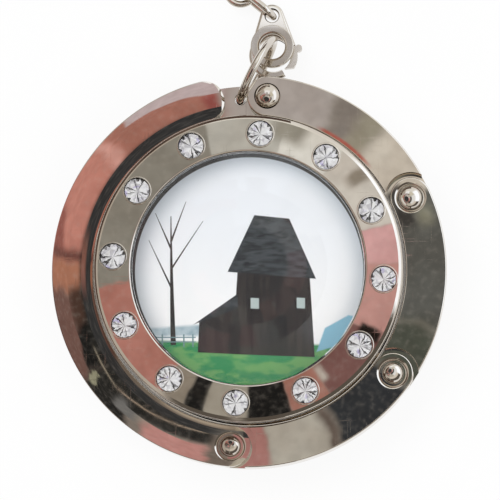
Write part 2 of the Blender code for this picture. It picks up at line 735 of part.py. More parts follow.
def lever_end_deg(radius):
    """Where a bar this far out ends, so that it swings past the claw's nose."""
    nose = clasp_point(CLASP_HOLE_RADIUS, CLASP_NOSE_DEG)
    sweep = math.dist(lever_pin(), nose) - CLASP_GAP
    share = (LEVER_PIN_REACH**2 + radius**2 - sweep**2) / (2 * LEVER_PIN_REACH * radius)
    return LEVER_PIN_DEG - math.degrees(math.acos(share))


def make_lever():
    """The sprung gate: a curved bar with a thumb tab and a thin tang round the pin."""
    middle = (CLASP_BOTTOM + CLASP_TOP) / 2
    outer = CLASP_HOLE_RADIUS + CLASP_GAP + LEVER_WIDTH
    inner = CLASP_HOLE_RADIUS + CLASP_GAP
    last = LEVER_SHANK_DEG - math.degrees(CLASP_GAP / CLASP_HOLE_RADIUS)
    bar = clasp_arc(outer, lever_end_deg(outer), last) + clasp_arc(inner, last, lever_end_deg(inner))
    half = LEVER_THICKNESS / 2
    pin = lever_pin()
    lever = prism("clasp_lever", bar, middle - half, middle + half, (*pin, 0))
    tab = disc("lever_tab", clasp_point(TAB_REACH, TAB_DEG), TAB_RADIUS, middle - half, middle + half)
    half_tang = TANG_THICKNESS / 2
    turn = CLASP_HEADING_DEG - 90
    tang_foot = last - 2 * ARC_STEP_DEG
    tang_turn = (TANG_START_DEG + turn, TANG_END_DEG + turn)
    tang_outline = arc(pin, TANG_RADIUS, *tang_turn, FINE_ARC_STEP_DEG)
    tang_outline += clasp_arc(inner, TANG_ROOT_DEG, tang_foot)
    tang_outline += clasp_arc(outer, tang_foot, TANG_ROOT_DEG)
    tang = prism("lever_tang", tang_outline, middle - half_tang, middle + half_tang)
    join(lever, tab, tang)
    hole = disc("lever_hole", pin, PIN_RADIUS + PIVOT_CLEARANCE, CLASP_BOTTOM, CLASP_TOP)
    cut(lever, hole)
    return nickel(lever)


def make_clasp_pin():
    low, high = CLASP_BOTTOM + PIN_RECESS, CLASP_TOP - PIN_RECESS
    return nickel(disc("clasp_pin", lever_pin(), PIN_RADIUS, low, high))


def make_clasp_spring():
    """A bent leaf in the slot, which pushes the tang shut."""
    turn = CLASP_HEADING_DEG - 90
    middle = (CLASP_BOTTOM + CLASP_TOP) / 2
    half = TANG_THICKNESS / 2
    pin = lever_pin()
    start, end = SPRING_START_DEG + turn, SPRING_END_DEG + turn
    outline = arc(pin, SPRING_BEND_RADIUS + SPRING_LEAF, start, end)
    outline += arc(pin, SPRING_BEND_RADIUS, end, start)
    return finish(prism("clasp_spring", outline, middle - half, middle + half), (0.5, 0.5, 0.5), 0.3, 1.0)


def oval_path(near, along, up):
    """An oval link's path, from the extreme of its near end, in the plane of along and up."""
    near_centre = Vector(near) + CHAIN_END_RADIUS * along
    far_centre = near_centre + CHAIN_STRAIGHT * along
    path = []
    for centre, first in ((near_centre, 90), (far_centre, 270)):
        for i in range(OVAL_END_STEPS + 1):
            turn = math.radians(first + 180 * i / OVAL_END_STEPS)
            path.append(centre + CHAIN_END_RADIUS * (math.cos(turn) * along + math.sin(turn) * up))
    return path


def chain_places():
    """For each chain link: its near extreme, its heading and whether it stands on edge."""
    length = 2 * CHAIN_END_RADIUS + CHAIN_STRAIGHT
    places = []
    heading = Vector((*polar(1, CHAIN_HEADINGS_DEG[0]), 0))
    near = Vector((*clasp_eye(), 0)) - CHAIN_EYE_SHIFT * heading
    for i, degrees in enumerate(CHAIN_HEADINGS_DEG):
        upright = i % 2 == 0
        heading = Vector((*polar(1, degrees), 0))
        if i > 0:
            before = places[-1]
            far = before[0] + length * before[1]
            near = far - CHAIN_SLACK * heading
        near.z = CHAIN_HEIGHT if upright else CHAIN_FLAT_HEIGHT
        places.append((near.copy(), heading, upright))
    return places


def make_chain():
    made = []
    length = 2 * CHAIN_END_RADIUS + CHAIN_STRAIGHT
    joint = Vector((*clasp_eye(), 0))
    for i, (near, heading, upright) in enumerate(chain_places()):
        up = Vector((0, 0, 1)) if upright else Vector((0, 0, 1)).cross(heading)
        path = oval_path(near, heading, up)
        across = heading.cross(up)
        link = wire(f"chain_link_{i + 1}", path, CHAIN_WIRE_RADIUS, across, (joint.x, joint.y, 0))
        made.append(nickel(link))
        joint = near + length * heading
    return made, joint


def make_end_ring(joint):
    """A plain ring tilted from the last chain link down to the table."""
    heading = Vector((*polar(1, END_RING_HEADING_DEG), 0))
    near_height = CHAIN_HEIGHT - END_RING_RIDE
    far_height = END_RING_WIRE_RADIUS + CHAIN_FLOOR_GAP
    drop = near_height - far_height
    span = math.sqrt((2 * END_RING_RADIUS) ** 2 - drop**2)
    near = Vector((joint.x, joint.y, near_height)) - END_RING_SLACK * heading
    far = Vector((near.x, near.y, far_height)) + span * heading
    along = (far - near).normalized()
    side = Vector((0, 0, 1)).cross(heading)
    centre = (near + far) / 2
    path = split_ring_path(centre, END_RING_RADIUS, along, side, END_RING_SEAM_DEG)
    across = along.cross(side)
    return nickel(wire("end_ring", path, END_RING_WIRE_RADIUS, across, (joint.x, joint.y, 0), closed=False))


def clear_scene():
    for obj in list(bpy.data.objects):
        bpy.data.objects.remove(obj, do_unlink=True)


def main():
    clear_scene()
    case = make_case()
    for piece in (*make_back(), *make_picture(), *make_stones()):
        hang_on(piece, case)
    case_magnet, hook_magnet = make_magnets()
    links = [make_link(number) for number in range(1, LINK_COUNT + 1)]
    links.append(make_hook())
    rivets = [make_rivet(1, LARGE_HEAD_RADIUS, LINK_TOP)]
    rivets.append(make_rivet(2, LARGE_HEAD_RADIUS, LINK_TOP - DISH_DEPTH))
    rivets += [make_rivet(number, SMALL_HEAD_RADIUS, LINK_TOP - DISH_DEPTH) for number in (3, 4)]
    carriers = [case, *links]
    for child, parent in zip([*links, *rivets], [*carriers, *carriers]):
        if child is not parent:
            hang_on(child, parent)
    hang_on(case_magnet, case)
    hang_on(hook_magnet, links[-1])
    jump_ring = make_jump_ring()
    clasp = make_clasp_body()
    chain, joint = make_chain()
    end_ring = make_end_ring(joint)
    hang_on(jump_ring, case)
    hang_on(make_small_ring(), jump_ring)
    hang_on(clasp, jump_ring)
    for piece in (make_lever(), make_clasp_pin(), make_clasp_spring()):
        hang_on(piece, clasp)
    for parent, child in zip([clasp, *chain], [*chain, end_ring]):
        hang_on(child, parent)


main()
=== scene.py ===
# %% [markdown]
# # A folding purse hook with a clasp and chain
#
# This lesson dresses a imported model of a purse hook. Its ring of polished links folds round
# a drum with a domed picture and twelve crystals. Each piece is modelled again with finer
# curves and rides on the body that it moves with. The metal shows mostly what it mirrors,
# so one of the last steps builds glowing surroundings with the painted reflections that the metal
# shows.

# %% Load the imported model
import math
import bmesh
import bpy
from mathutils import Matrix, Vector


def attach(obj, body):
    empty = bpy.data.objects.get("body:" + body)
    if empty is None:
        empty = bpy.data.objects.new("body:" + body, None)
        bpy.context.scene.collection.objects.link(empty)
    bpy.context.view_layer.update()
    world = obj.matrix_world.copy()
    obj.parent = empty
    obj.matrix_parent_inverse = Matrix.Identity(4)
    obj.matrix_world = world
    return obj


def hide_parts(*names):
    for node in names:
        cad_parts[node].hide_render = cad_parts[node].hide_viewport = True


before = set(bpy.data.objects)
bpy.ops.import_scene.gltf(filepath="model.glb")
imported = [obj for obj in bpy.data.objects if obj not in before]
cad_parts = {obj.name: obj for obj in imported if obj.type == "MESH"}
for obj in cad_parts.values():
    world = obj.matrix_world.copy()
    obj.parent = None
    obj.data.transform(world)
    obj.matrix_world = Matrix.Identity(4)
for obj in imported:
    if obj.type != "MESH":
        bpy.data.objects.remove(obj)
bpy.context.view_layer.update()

bpy.ops.object.select_all(action="DESELECT")

# %% [markdown]
# ## Sizes
#
# Blender works in metres, and a purse hook is a few centimetres across. All sizes are
# written in millimetres and multiplied by MM. The folded ring is 4.6 mm wide, with its
# middle line 20 mm from the drum's centre. The rivets sit on that line, 60 degrees apart,
# and the ring runs clockwise from them to the hook's tip, so the tip's angle is negative.
# The ring's cutters start at CLEAR_BELOW or end at CLEAR_ABOVE, which are clear of it.

# %% Name the shared sizes
MM = 0.001
RING_MIDDLE, RING_HALF = 20.0, 2.3
LINK_LOW, LINK_HIGH = 3.0, 6.2
CLEAR_BELOW, CLEAR_ABOVE = 2.0, 7.0
FIRST_PIVOT, SPAN = 84.0, 60.0
TIP_BEARING = 104.7
TIP = TIP_BEARING - 360


def polar(radius, degrees, centre=(0, 0)):
    """A point at this distance and angle from a centre, all in millimetres."""
    turn = math.radians(degrees)
    return (centre[0] + radius * math.cos(turn), centre[1] + radius * math.sin(turn))


def place(x, y, z=0.0):
    """Millimetres to a point in Blender's metres."""
    return Vector((x, y, z)) * MM


PIVOTS = [polar(RING_MIDDLE, FIRST_PIVOT - SPAN * k) for k in range(4)]
print("pivots", [(round(x, 2), round(y, 2)) for x, y in PIVOTS])

# %% [markdown]
# ## Working as by hand
#
# Every piece starts from a primitive in edit mode. These few helpers open the new primitive,
# select vertices by their place, and close the piece: doubles are merged, faces are turned
# outwards, and the place is moved from the object into its mesh, so the origin stays at zero.

# %% Open, select and close a piece
SAME_PLACE = 0.002 * MM


def begin(name):
    """Names the new primitive and opens it in edit mode."""
    obj = bpy.context.object
    obj.name = obj.data.name = name
    bpy.ops.object.mode_set(mode="EDIT")
    bpy.ops.mesh.select_mode(type="VERT")
    return obj


def pick(obj, test):
    """Selects the vertices whose place, in millimetres, passes the test."""
    bpy.ops.mesh.select_mode(type="VERT")
    mesh = bmesh.from_edit_mesh(obj.data)
    for vertex in mesh.verts:
        vertex.select = bool(test(obj.matrix_world @ vertex.co / MM))
    mesh.select_flush_mode()
    bmesh.update_edit_mesh(obj.data)


def close(obj):
    """Merges doubles, turns faces outwards and puts the object's place into its mesh."""
    bpy.ops.mesh.select_all(action="SELECT")
    bpy.ops.mesh.remove_doubles(threshold=SAME_PLACE)
    bpy.ops.mesh.normals_make_consistent(inside=False)
    bpy.ops.object.mode_set(mode="OBJECT")
    bpy.ops.object.transform_apply(location=True, rotation=True, scale=True)
    obj.select_set(False)
    return obj


print("doubles are merged within", SAME_PLACE / MM, "mm")

# %% [markdown]
# ## Turned shapes
#
# The drum, the rivets and the dome are round, as if turned on a lathe. Spinning a drawn line
# would do it too, but a circle keeps its vertices exactly round. It is added at the first
# point of the profile, then extruded and resized from point to point. A radius of zero
# closes the shape in one point, and a ring's profile comes back to its start.

# %% Turn a profile
FINE = 96


def lathe(name, profile, centre=(0, 0), steps=FINE, ring=False):
    """Turns a profile of (radius, height) about an upright axis through the centre."""
    radius, height = profile[0]
    start = place(*centre, height)
    bpy.ops.mesh.primitive_circle_add(vertices=steps, radius=radius * MM, location=start)
    obj = begin(name)
    if not ring:
        bpy.ops.mesh.edge_face_add()
        bpy.ops.mesh.select_mode(type="EDGE")
    for next_radius, next_height in profile[1:]:
        rise = (next_height - height) * MM
        bpy.ops.mesh.extrude_edges_move(TRANSFORM_OT_translate={"value": (0, 0, rise)})
        if next_radius == 0:
            bpy.ops.mesh.merge(type="CENTER")
            break
        share = next_radius / radius
        middle = place(*centre, next_height)
        bpy.ops.transform.resize(value=(share, share, 1), center_override=middle)
        radius, height = next_radius, next_height
    else:
        if not ring:
            bpy.ops.mesh.edge_face_add()
    return close(obj)


print("lathe ready")

# %% [markdown]
# ## Drawn shapes
#
# Other outlines are drawn as a line: a small plane is merged into one vertex, which is
# extruded from point to point. A drawn outline is then filled, or spun into a bent bar.

# %% Trace a line and spin it
def trace(name, start, steps):
    """Draws a line by extruding one vertex, step by step, and leaves it selected."""
    bpy.ops.mesh.primitive_plane_add(size=MM, location=start)
    obj = begin(name)
    bpy.ops.mesh.merge(type="CENTER")
    for step in steps:
        bpy.ops.mesh.extrude_vertices_move(TRANSFORM_OT_translate={"value": step})
    bpy.ops.mesh.select_all(action="SELECT")
    bpy.ops.mesh.remove_doubles(threshold=SAME_PLACE)
    return obj


def spin(degrees, steps, centre=(0, 0)):
    """Spins what is selected anticlockwise about an upright axis."""
    turn = -math.radians(degrees)
    bpy.ops.mesh.spin(steps=steps, angle=turn, center=place(*centre), axis=(0, 0, 1))


def corner(x, z, first, edge, steps):
    """A rounded corner's points: a quarter circle about its centre, from its first angle."""
    turns = [math.radians(first + 90 * k / steps) for k in range(steps + 1)]
    return [(x + edge * math.cos(turn), z + edge * math.sin(turn)) for turn in turns]


print("a corner in four steps has", len(corner(0, 0, 0, 1, 4)), "points")

# %% [markdown]
# ## Pieces of the ring
#
# A link is a bent bar with a round eye at each end, cast and then polished. Its section is
# traced, and the closed outline is spun about the drum's centre. At each end only the outer
# half is spun on, half a turn about the rivet. That makes an eye that flows into the bar,
# which a separate disc joined to it wouldn't.

# %% Spin a section into an arc with round ends
def ring_piece(name, edge, start, end, steps):
    """A bar round the drum from one angle to another, its long edges rounded."""
    side = RING_HALF - edge
    half = [(0, LINK_LOW)] + corner(side, LINK_LOW + edge, 270, edge, 3)
    half += corner(side, LINK_HIGH - edge, 0, edge, 3) + [(0, LINK_HIGH)]
    outline = half + [(-x, z) for x, z in reversed(half)][1:]
    path = []
    for before, after in zip(outline, outline[1:]):
        path.append(place(*polar(after[0] - before[0], start), after[1] - before[1]))
    obj = trace(name, place(*polar(RING_MIDDLE, start), LINK_LOW), path)
    spin(end - start, steps)
    for degrees, sense in ((start, 1), (end, -1)):
        outwards, along = Vector(polar(1, degrees)), Vector(polar(1, degrees + 90))

        def on_outer_half(point):
            flat = Vector((point.x, point.y))
            return abs(flat.dot(along)) < 0.001 and flat.dot(outwards) > RING_MIDDLE - 0.001

        pick(obj, on_outer_half)
        spin(sense * 180, 24, polar(RING_MIDDLE, degrees))
    return close(obj)


links = []
for number in range(3):
    start = FIRST_PIVOT - SPAN * number
    links.append(ring_piece(f"polished_link_{number + 1}", 0.14, start, start - SPAN, 40))
print("links", [len(link.data.polygons) for link in links])

# %% [markdown]
# ## Cutting and finishing
#
# Cuts are Booleans with turned cutters, because the exact solver keeps the flat faces flat.
# Afterwards a small bevel takes off each sharp edge, as the polishing wheel does. Level faces
# stay flat shaded, so that they mirror like a plane, and the rest is shaded smooth.

# %% Cut, smooth and soften
def apply_modifier(obj, kind, **settings):
    """Adds a modifier with its settings and applies it."""
    step = obj.modifiers.new(kind.lower(), kind)
    for name, value in settings.items():
        setattr(step, name, value)
    bpy.context.view_layer.objects.active = obj
    bpy.ops.object.modifier_apply(modifier=step.name)


def boolean(obj, tool, operation="DIFFERENCE"):
    """Cuts the tool from the object, or joins it on, and removes the tool."""
    apply_modifier(obj, "BOOLEAN", operation=operation, object=tool, solver="EXACT")
    bpy.data.objects.remove(tool)


def smooth(obj, degrees=35):
    """Shades smooth wherever two faces meet at less than this angle."""
    bpy.context.view_layer.objects.active = obj
    obj.select_set(True)
    bpy.ops.object.shade_smooth_by_angle(angle=math.radians(degrees))
    obj.select_set(False)
    return obj


def soften(obj, width, segments=3, degrees=50, level=0.9999, joined=75, clamp=True):
    """Rounds edges sharper than the angle. Faces more level than the limit stay flat."""
    settings = {"width": width * MM, "segments": segments, "use_clamp_overlap": clamp}
    settings |= {"limit_method": "ANGLE", "angle_limit": math.radians(degrees)}
    apply_modifier(obj, "BEVEL", **settings)
    smooth(obj, joined)
    for face in obj.data.polygons:
        if face.normal.z > level:
            face.use_smooth = False
    apply_modifier(obj, "WEIGHTED_NORMAL", weight=50, keep_sharp=True)
    return obj


print("tools ready")

# %% [markdown]
# The real links meet in half laps: one eye is the upper half of its bar, the next the lower
# half, with a round shoulder that lets them turn. A lower half ends a tenth of a millimetre
# below where an upper half starts. A turned cutter removes each half. The rivet heads sit in
# shallow dished seats, cut in the same way. The first rivet has a thin groove round it.

# %% Cut the half laps and the seats
SHOULDER = 2.9
LOWER_HALF_TOP, UPPER_HALF_BOTTOM = 4.55, 4.65
DISH = [(1.43, 5.8), (1.43, 5.98), (1.8, LINK_HIGH), (1.8, CLEAR_ABOVE)]
GROOVE = [(1.38, 5.95), (1.48, LINK_HIGH), (1.48, CLEAR_ABOVE)]


def cut_lap(obj, centre, low, high):
    """Cuts a round shoulder between two heights."""
    boolean(obj, lathe("cutter", [(SHOULDER, low), (SHOULDER, high)], centre))


for number, link in enumerate(links):
    cut_lap(link, PIVOTS[number], CLEAR_BELOW, UPPER_HALF_BOTTOM)
    cut_lap(link, PIVOTS[number + 1], LOWER_HALF_TOP, CLEAR_ABOVE)
    boolean(link, lathe("cutter", DISH if number > 0 else GROOVE, PIVOTS[number]))
    soften(link, 0.05)
print("cut links", [len(link.data.polygons) for link in links])

# %% [markdown]
# ## The long hook
#
# The hook that carries the bag is crowned: level along its middle, rolled down a little to
# its outer edge and more to its inner edge, which draws the long soft bands that it mirrors.
# A bevel would be too narrow for that, so a turned cutter with the crown's own profile
# shaves it.

# %% Bend the hook and shave its crown
CROWN = [(17.4, 5.92), (17.8, 5.995), (17.9, 6.015), (18.2, 6.068), (18.6, 6.13), (19.0, 6.18)]
CROWN += [(20.6, 6.18), (21.0, 6.176), (21.4, 6.165), (21.8, 6.146), (22.2, 6.121), (22.7, 6.088)]
hook = ring_piece("polished_hook", 0.08, FIRST_PIVOT - 3 * SPAN, TIP, 110)
above = [(CROWN[-1][0], CLEAR_ABOVE), (CROWN[0][0], CLEAR_ABOVE)]
boolean(hook, lathe("cutter", above[1:] + CROWN + above, steps=180, ring=True))
print("crowned hook", len(hook.data.polygons))

# %% [markdown]
# The hook's round tip is ground to a wide chamfer at the very end, which narrows to nothing
# along the sides. A cone set back towards the bar cuts it. A cube first takes away the
# cone's rear half, so that the bar isn't touched. Under the tip the bar is relieved, so it
# lies over the lug. Outwards the crown's slope starts below one degree, so only exactly
# level faces stay flat. The seat slopes by 31 degrees, and it keeps its edge, because faces
# are shaded as one only where they meet at less than 29.

# %% Chamfer the tip, cut the lap and the seat
CONE = [(2.88, 6.2), (3.5, 5.82), (3.5, 6.6), (2.88, 6.6), (2.88, 6.2)]
CONE_BACK, CUBE_BACK, CUBE_SIZE = 0.93, 9.7, 20
RELIEF_TOP = 5.1
tip = polar(RING_MIDDLE, TIP)
cone = lathe("cutter", CONE, polar(-CONE_BACK, TIP - 90, tip), ring=True)
rear = place(*polar(-CUBE_BACK, TIP - 90, tip), 6.0)
turn = (0, 0, math.radians(TIP - 90))
bpy.ops.mesh.primitive_cube_add(size=CUBE_SIZE * MM, location=rear, rotation=turn)
boolean(cone, bpy.context.object)
boolean(hook, cone)
cut_lap(hook, PIVOTS[3], CLEAR_BELOW, UPPER_HALF_BOTTOM)
boolean(hook, lathe("cutter", DISH, PIVOTS[3]))
cut_lap(hook, tip, CLEAR_BELOW, RELIEF_TOP)
soften(hook, 0.04, level=0.999999, joined=29)
print("hook faces", len(hook.data.polygons))

# %% [markdown]
# ## The drum
#
# The drum is one casting: a turned body with a bezel that falls a hair towards its window
# and has a broad chamfer outside, a groove that clears the links' eyes, a deep window for
# the picture and a lug at the top. The whole body is one profile, so it is turned.

# %% Turn the drum's body
BODY = [(16.2, 2.2), (16.2, 0.6), (17.3, 0.6), (17.4, 0.7), (17.4, 2.55), (17.3, 2.7)]
BODY += [(16.7, 2.7), (16.7, 6.5), (17.3, 6.5), (17.4, 6.6), (17.4, 8.04), (17.37, 8.13)]
BODY += [(17.31, 8.19), (17.0, 8.35), (16.93, 8.39), (13.42, 8.35), (13.28, 8.3), (13.2, 8.17)]
BODY += [(13.2, 4.4)]
case = lathe("drum_casting", BODY, steps=160)
print("drum faces", len(case.data.polygons))

# %% [markdown]
# The lug reaches out under the hook's tip and under the first link. It is a short bent bar,
# so a rectangle is traced and spun, and a turned eye is joined to its end. A cube takes off
# the half where the link's eye laps over it, and a small hole takes the ring.

# %% Spin the lug, add its eye and join it to the drum
LUG_IN, LUG_OUT, LUG_LOW, LUG_HIGH = 15.8, 21.2, 3.0, 5.0
LUG_START = 109.7
LUG_HOLE, HOLE_RADIUS = (-1.0, 19.7), 0.68
reach, rise = LUG_OUT - LUG_IN, LUG_HIGH - LUG_LOW
path = [place(*polar(across, LUG_START), up)
        for across, up in ((reach, 0), (0, rise), (-reach, 0), (0, -rise))]
lug = trace("lug", place(*polar(LUG_IN, LUG_START), LUG_LOW), path)
bpy.ops.mesh.edge_face_add()
spin(FIRST_PIVOT - LUG_START, 24)
boolean(close(lug), lathe("eye", [(2.3, LUG_LOW), (2.3, LUG_HIGH)], PIVOTS[0]), "UNION")
bpy.ops.mesh.primitive_cube_add(size=20 * MM, location=place(9.6, 20, LOWER_HALF_TOP + 10))
boolean(lug, bpy.context.object)
boolean(case, lug, "UNION")
hole = [(HOLE_RADIUS, CLEAR_BELOW), (HOLE_RADIUS, CLEAR_ABOVE)]
boolean(case, lathe("cutter", hole, LUG_HOLE))
print("drum with lug", len(case.data.polygons))

# %% [markdown]
# The crystals sit in twelve cups in the bezel, each with a thin raised collar. The collars
# are turned at their places and joined into one object, and so are the cups, so two Booleans
# do all of them. A pocket in the lug takes the magnet that holds the hook's tip.

# %% Cut the cups and raise their collars
STONES = [polar(15.3, 84.8 - 30 * k) for k in range(12)]
COLLAR = [(1.63, 8.2), (1.63, 8.46), (1.59, 8.51), (1.55, 8.52)]
CUP = [(1.47, 6.92), (1.47, 8.46), (1.56, 9.0)]
POCKET = [(1.2, 3.9), (1.2, CLEAR_ABOVE)]


def round_the_bezel(name, profile):
    """Turns the same shape at every crystal and joins them into one object."""
    made = [lathe(name, profile, centre, 40) for centre in STONES]
    for obj in made:
        obj.select_set(True)
    bpy.context.view_layer.objects.active = made[0]
    bpy.ops.object.join()
    made[0].select_set(False)
    return made[0]


boolean(case, round_the_bezel("collar", COLLAR), "UNION")
boolean(case, round_the_bezel("cup", CUP))
boolean(case, lathe("cutter", POCKET, polar(19.45, TIP_BEARING), 40))
soften(case, 0.05, 2)
print("drum with cups", len(case.data.polygons))

# %% [markdown]
# ## Rivets
#
# Each rivet is a domed head on a shank, spread into a flat foot below. A cut-off sphere
# would lack the crisp rim under the dome, so head, shank and foot are one turned profile.
# Rivets 1 and 2 have the larger heads. The first sits on the flat of its link, the others
# in their dished seats.

# %% Turn the rivets
FOOT, FOOT_RADIUS, SHANK, RIM, DOME = LINK_LOW - 0.08, 1.15, 0.75, 0.03, 0.77


def rivet(number, head, seat):
    """A rivet with this head radius, whose head starts at the height of its seat."""
    profile = [(FOOT_RADIUS - 0.1, FOOT - 0.3), (FOOT_RADIUS, FOOT - 0.22), (FOOT_RADIUS, FOOT)]
    profile += [(SHANK, FOOT), (SHANK, seat), (head - RIM, seat), (head, seat + RIM)]
    for x, z in corner(0, 0, 0, 1, 14)[1:-1]:
        profile.append((head * x, seat + RIM + DOME * z))
    profile.append((0, seat + RIM + DOME))
    return smooth(lathe(f"domed_rivet_{number}", profile, PIVOTS[number - 1], 64))


rivets = [rivet(1, 1.35, 6.28), rivet(2, 1.35, 5.88), rivet(3, 1.2, 5.88), rivet(4, 1.2, 5.88)]
print("rivets", [piece.name for piece in rivets])

# %% [markdown]
# ## Picture, dome and back
#
# The picture is a printed disc at the window's floor. Over it lies a clear domed cabochon,
# whose profile is an arc of a circle that rises 2 mm over its edge. A plate closes the back,
# with a ribbed rubber pad. All four are round and are turned.

# %% Turn the disc, the dome, the plate and the pad
GLASS, RISE, DOME_TOP = 13.1, 2.0, 10.0
DISC = [(GLASS - 0.02, 4.5), (GLASS, 4.52), (GLASS, 4.68), (GLASS - 0.02, 4.7)]
PLATE = [(14.6, 1.2), (14.6, 0.74), (14.64, 0.7), (16.0, 0.7), (16.1, 0.8), (16.1, 2.1)]
PAD = [(14.2, 0.0), (14.42, 0.06), (14.5, 0.2), (14.5, 1.1)]
picture = lathe("country_picture", DISC, steps=128)
curve = (GLASS**2 + RISE**2) / (2 * RISE)
cabochon = [(GLASS - 0.08, 4.8), (GLASS, 4.88), (GLASS, 7.9)]
for k in range(22):
    reach = (GLASS - 0.06) * math.cos(math.radians(90 * k / 22))
    cabochon.append((reach, DOME_TOP - curve + math.sqrt(curve**2 - reach**2)))
dome = smooth(lathe("glass_dome", cabochon + [(0, DOME_TOP)], steps=128))
cover = smooth(lathe("back_plate", PLATE, steps=128))
pad = smooth(lathe("ribbed_pad", PAD, steps=128), 50)
print("dome faces", len(dome.data.polygons))

# %% [markdown]
# ## Crystals
#
# A brilliant cut has a flat table, star, kite and girdle facets above, and a pointed back
# with many narrow facets. Cutting a cone facet by facet would take dozens of cuts. Rings of
# vertices at the real heights with a convex hull round them give the same facets at once.
# Each crystal is turned a little further than the last, as they are set by hand.

# %% Cut the crystals
FACETS = [(8, 0.78, 8.70, 0), (8, 1.12, 8.52, 22.5), (16, 1.40, 8.25, 11.25)]
FACETS += [(16, 1.40, 8.18, 11.25), (16, 0.88, 7.75, 0), (8, 0.32, 7.32, 22.5), (8, 0.03, 7.08, 0)]
SET_TURN = 47


def crystal(number, centre):
    """One crystal from rings of (corners, radius, height, angle)."""
    for index, (count, radius, height, degrees) in enumerate(FACETS):
        turn = (0, 0, math.radians(degrees + SET_TURN * number))
        where = {"location": place(*centre, height), "rotation": turn}
        bpy.ops.mesh.primitive_circle_add(vertices=count, radius=radius * MM, **where)
        if index == 0:
            obj = begin(f"crystal_{number + 1:02d}")
    bpy.ops.mesh.select_all(action="SELECT")
    bpy.ops.mesh.convex_hull(join_triangles=True)
    return close(obj)


crystals = [crystal(number, centre) for number, centre in enumerate(STONES)]
print("crystal faces", len(crystals[0].data.polygons))

# %% [markdown]
# ## Rings and chain
#
# A wire ring starts as a torus. The oval chain links are the same torus, with one half moved
# away along the link, so that the faces between stretch into straight sides. A curve with a
# bevel could make both, but it would have to become a mesh at the end. Rings are set by two
# directions: where they point, and which way they face.

# %% Bend a wire ring
def wire_ring(name, centre, radius, wire, along, facing, stretch=0.0, steps=64):
    """A closed wire, longer than it is wide by the stretch."""
    along, facing = Vector(along).normalized(), Vector(facing).normalized()
    turn = Matrix((along, facing.cross(along), facing)).transposed().to_euler()
    where = {"location": place(*centre), "rotation": turn}
    sizes = {"major_radius": radius * MM, "minor_radius": wire * MM, "major_segments": steps}
    bpy.ops.mesh.primitive_torus_add(minor_segments=20, **sizes, **where)
    obj = begin(name)
    if stretch:
        middle = Vector(centre)
        for sense in (1, -1):
            pick(obj, lambda point: sense * (point - middle).dot(along) > 0.001)
            bpy.ops.transform.translate(value=place(*(sense * stretch / 2 * along)))
    return smooth(close(obj), 60)


# This ring stands on edge in the lug's hole. Its heading points at the clasp.
HEADING, JUMP_REACH = 61.5, 3.85
jump_centre = (*polar(JUMP_REACH, HEADING, LUG_HOLE), 4.5)
ahead, sideways = (*polar(1, HEADING), 0), (*polar(1, HEADING - 90), 0)
jump = wire_ring("standing_ring", jump_centre, 4.0, 0.45, ahead, sideways, steps=FINE)
print("ring", jump.name, [round(value, 2) for value in jump_centre])

# %% [markdown]
# The chain lies on the table, where every other link stands on edge. Each link starts where
# the last one holds it and points the way that the chain runs. The key ring leans on the
# last link.

# %% Lay the chain and the key ring
UPRIGHT = Vector((0, 0, 1))
CHAIN = [((2.6007, 29.7689, 2.05), 140, True), ((-0.4192, 31.6182, 1.33), 118, False)]
CHAIN += [((-2.1939, 34.5404, 2.05), 110, True)]
chain = []
for number, (start, degrees, on_edge) in enumerate(CHAIN):
    ahead = Vector((*polar(1, degrees), 0))
    facing = ahead.cross(UPRIGHT) if on_edge else UPRIGHT
    middle = Vector(start) + 2.4 * ahead
    chain.append(wire_ring(f"oval_link_{number + 1}", middle, 1.6, 0.4, ahead, facing, 1.6))
ahead, facing = (-0.1042, 0.9911, -0.0833), (0, 0.0837, 0.9965)
end_ring = wire_ring("key_ring_wire", (-4.2411, 42.911, 1.10), 5.4, 0.6, ahead, facing)
print("chain", [link.name for link in chain], end_ring.name)

# %% [markdown]
# The small ring is stamped rather than bent from wire. Its upper face is flat, rounded
# broadly to the hole and only a little outside. A torus can't give that, so it is turned
# from a closed section.

# %% Turn the stamped ring
INNER, OUTER, LOW, HIGH, INNER_EDGE, OUTER_EDGE = 1.46, 2.46, 2.37, 3.33, 0.26, 0.1
section = corner(OUTER - OUTER_EDGE, LOW + OUTER_EDGE, 270, OUTER_EDGE, 4)
section += corner(OUTER - OUTER_EDGE, HIGH - OUTER_EDGE, 0, OUTER_EDGE, 4)
section += corner(INNER + INNER_EDGE, HIGH - INNER_EDGE, 90, INNER_EDGE, 4)
section += corner(INNER + INNER_EDGE, LOW + INNER_EDGE, 180, INNER_EDGE, 4)
SMALL_REACH = 7.35
small_centre = polar(SMALL_REACH, HEADING, LUG_HOLE)
small = lathe("stamped_ring", section + section[:1], small_centre, 80, ring=True)
soften(small, 0.01, 1, 89)
print("stamped ring", [round(value, 2) for value in small_centre])

# %% [markdown]
# ## The clasp
#
# The claw is cast flat in the outline of a teardrop. It could be traced, but a disc is
# quicker: the upper part of its outline is resized to the small eye and moved there, and the
# straight flanks come by themselves. The two round holes are turned cutters whose ends
# widen, like the worn rims of the real ones.

# %% Draw the claw and cut its holes
CLAW, EYE = (2.6, 25.3), (2.4475, 29.8975)
CLAW_RADIUS, EYE_RADIUS, CLAW_LOW, CLAW_THICK = 2.8, 1.35, 1.15, 1.1
EYE_BEARING, TANGENT = 91.9, 71.6
disc = {"vertices": FINE, "radius": CLAW_RADIUS * MM, "location": place(*CLAW, CLAW_LOW)}
bpy.ops.mesh.primitive_circle_add(**disc)
claw = begin("claw")


def in_upper_part(point):
    """Whether a point lies between the two tangents towards the eye."""
    degrees = math.degrees(math.atan2(point.y - CLAW[1], point.x - CLAW[0]))
    return abs(degrees - EYE_BEARING) < TANGENT


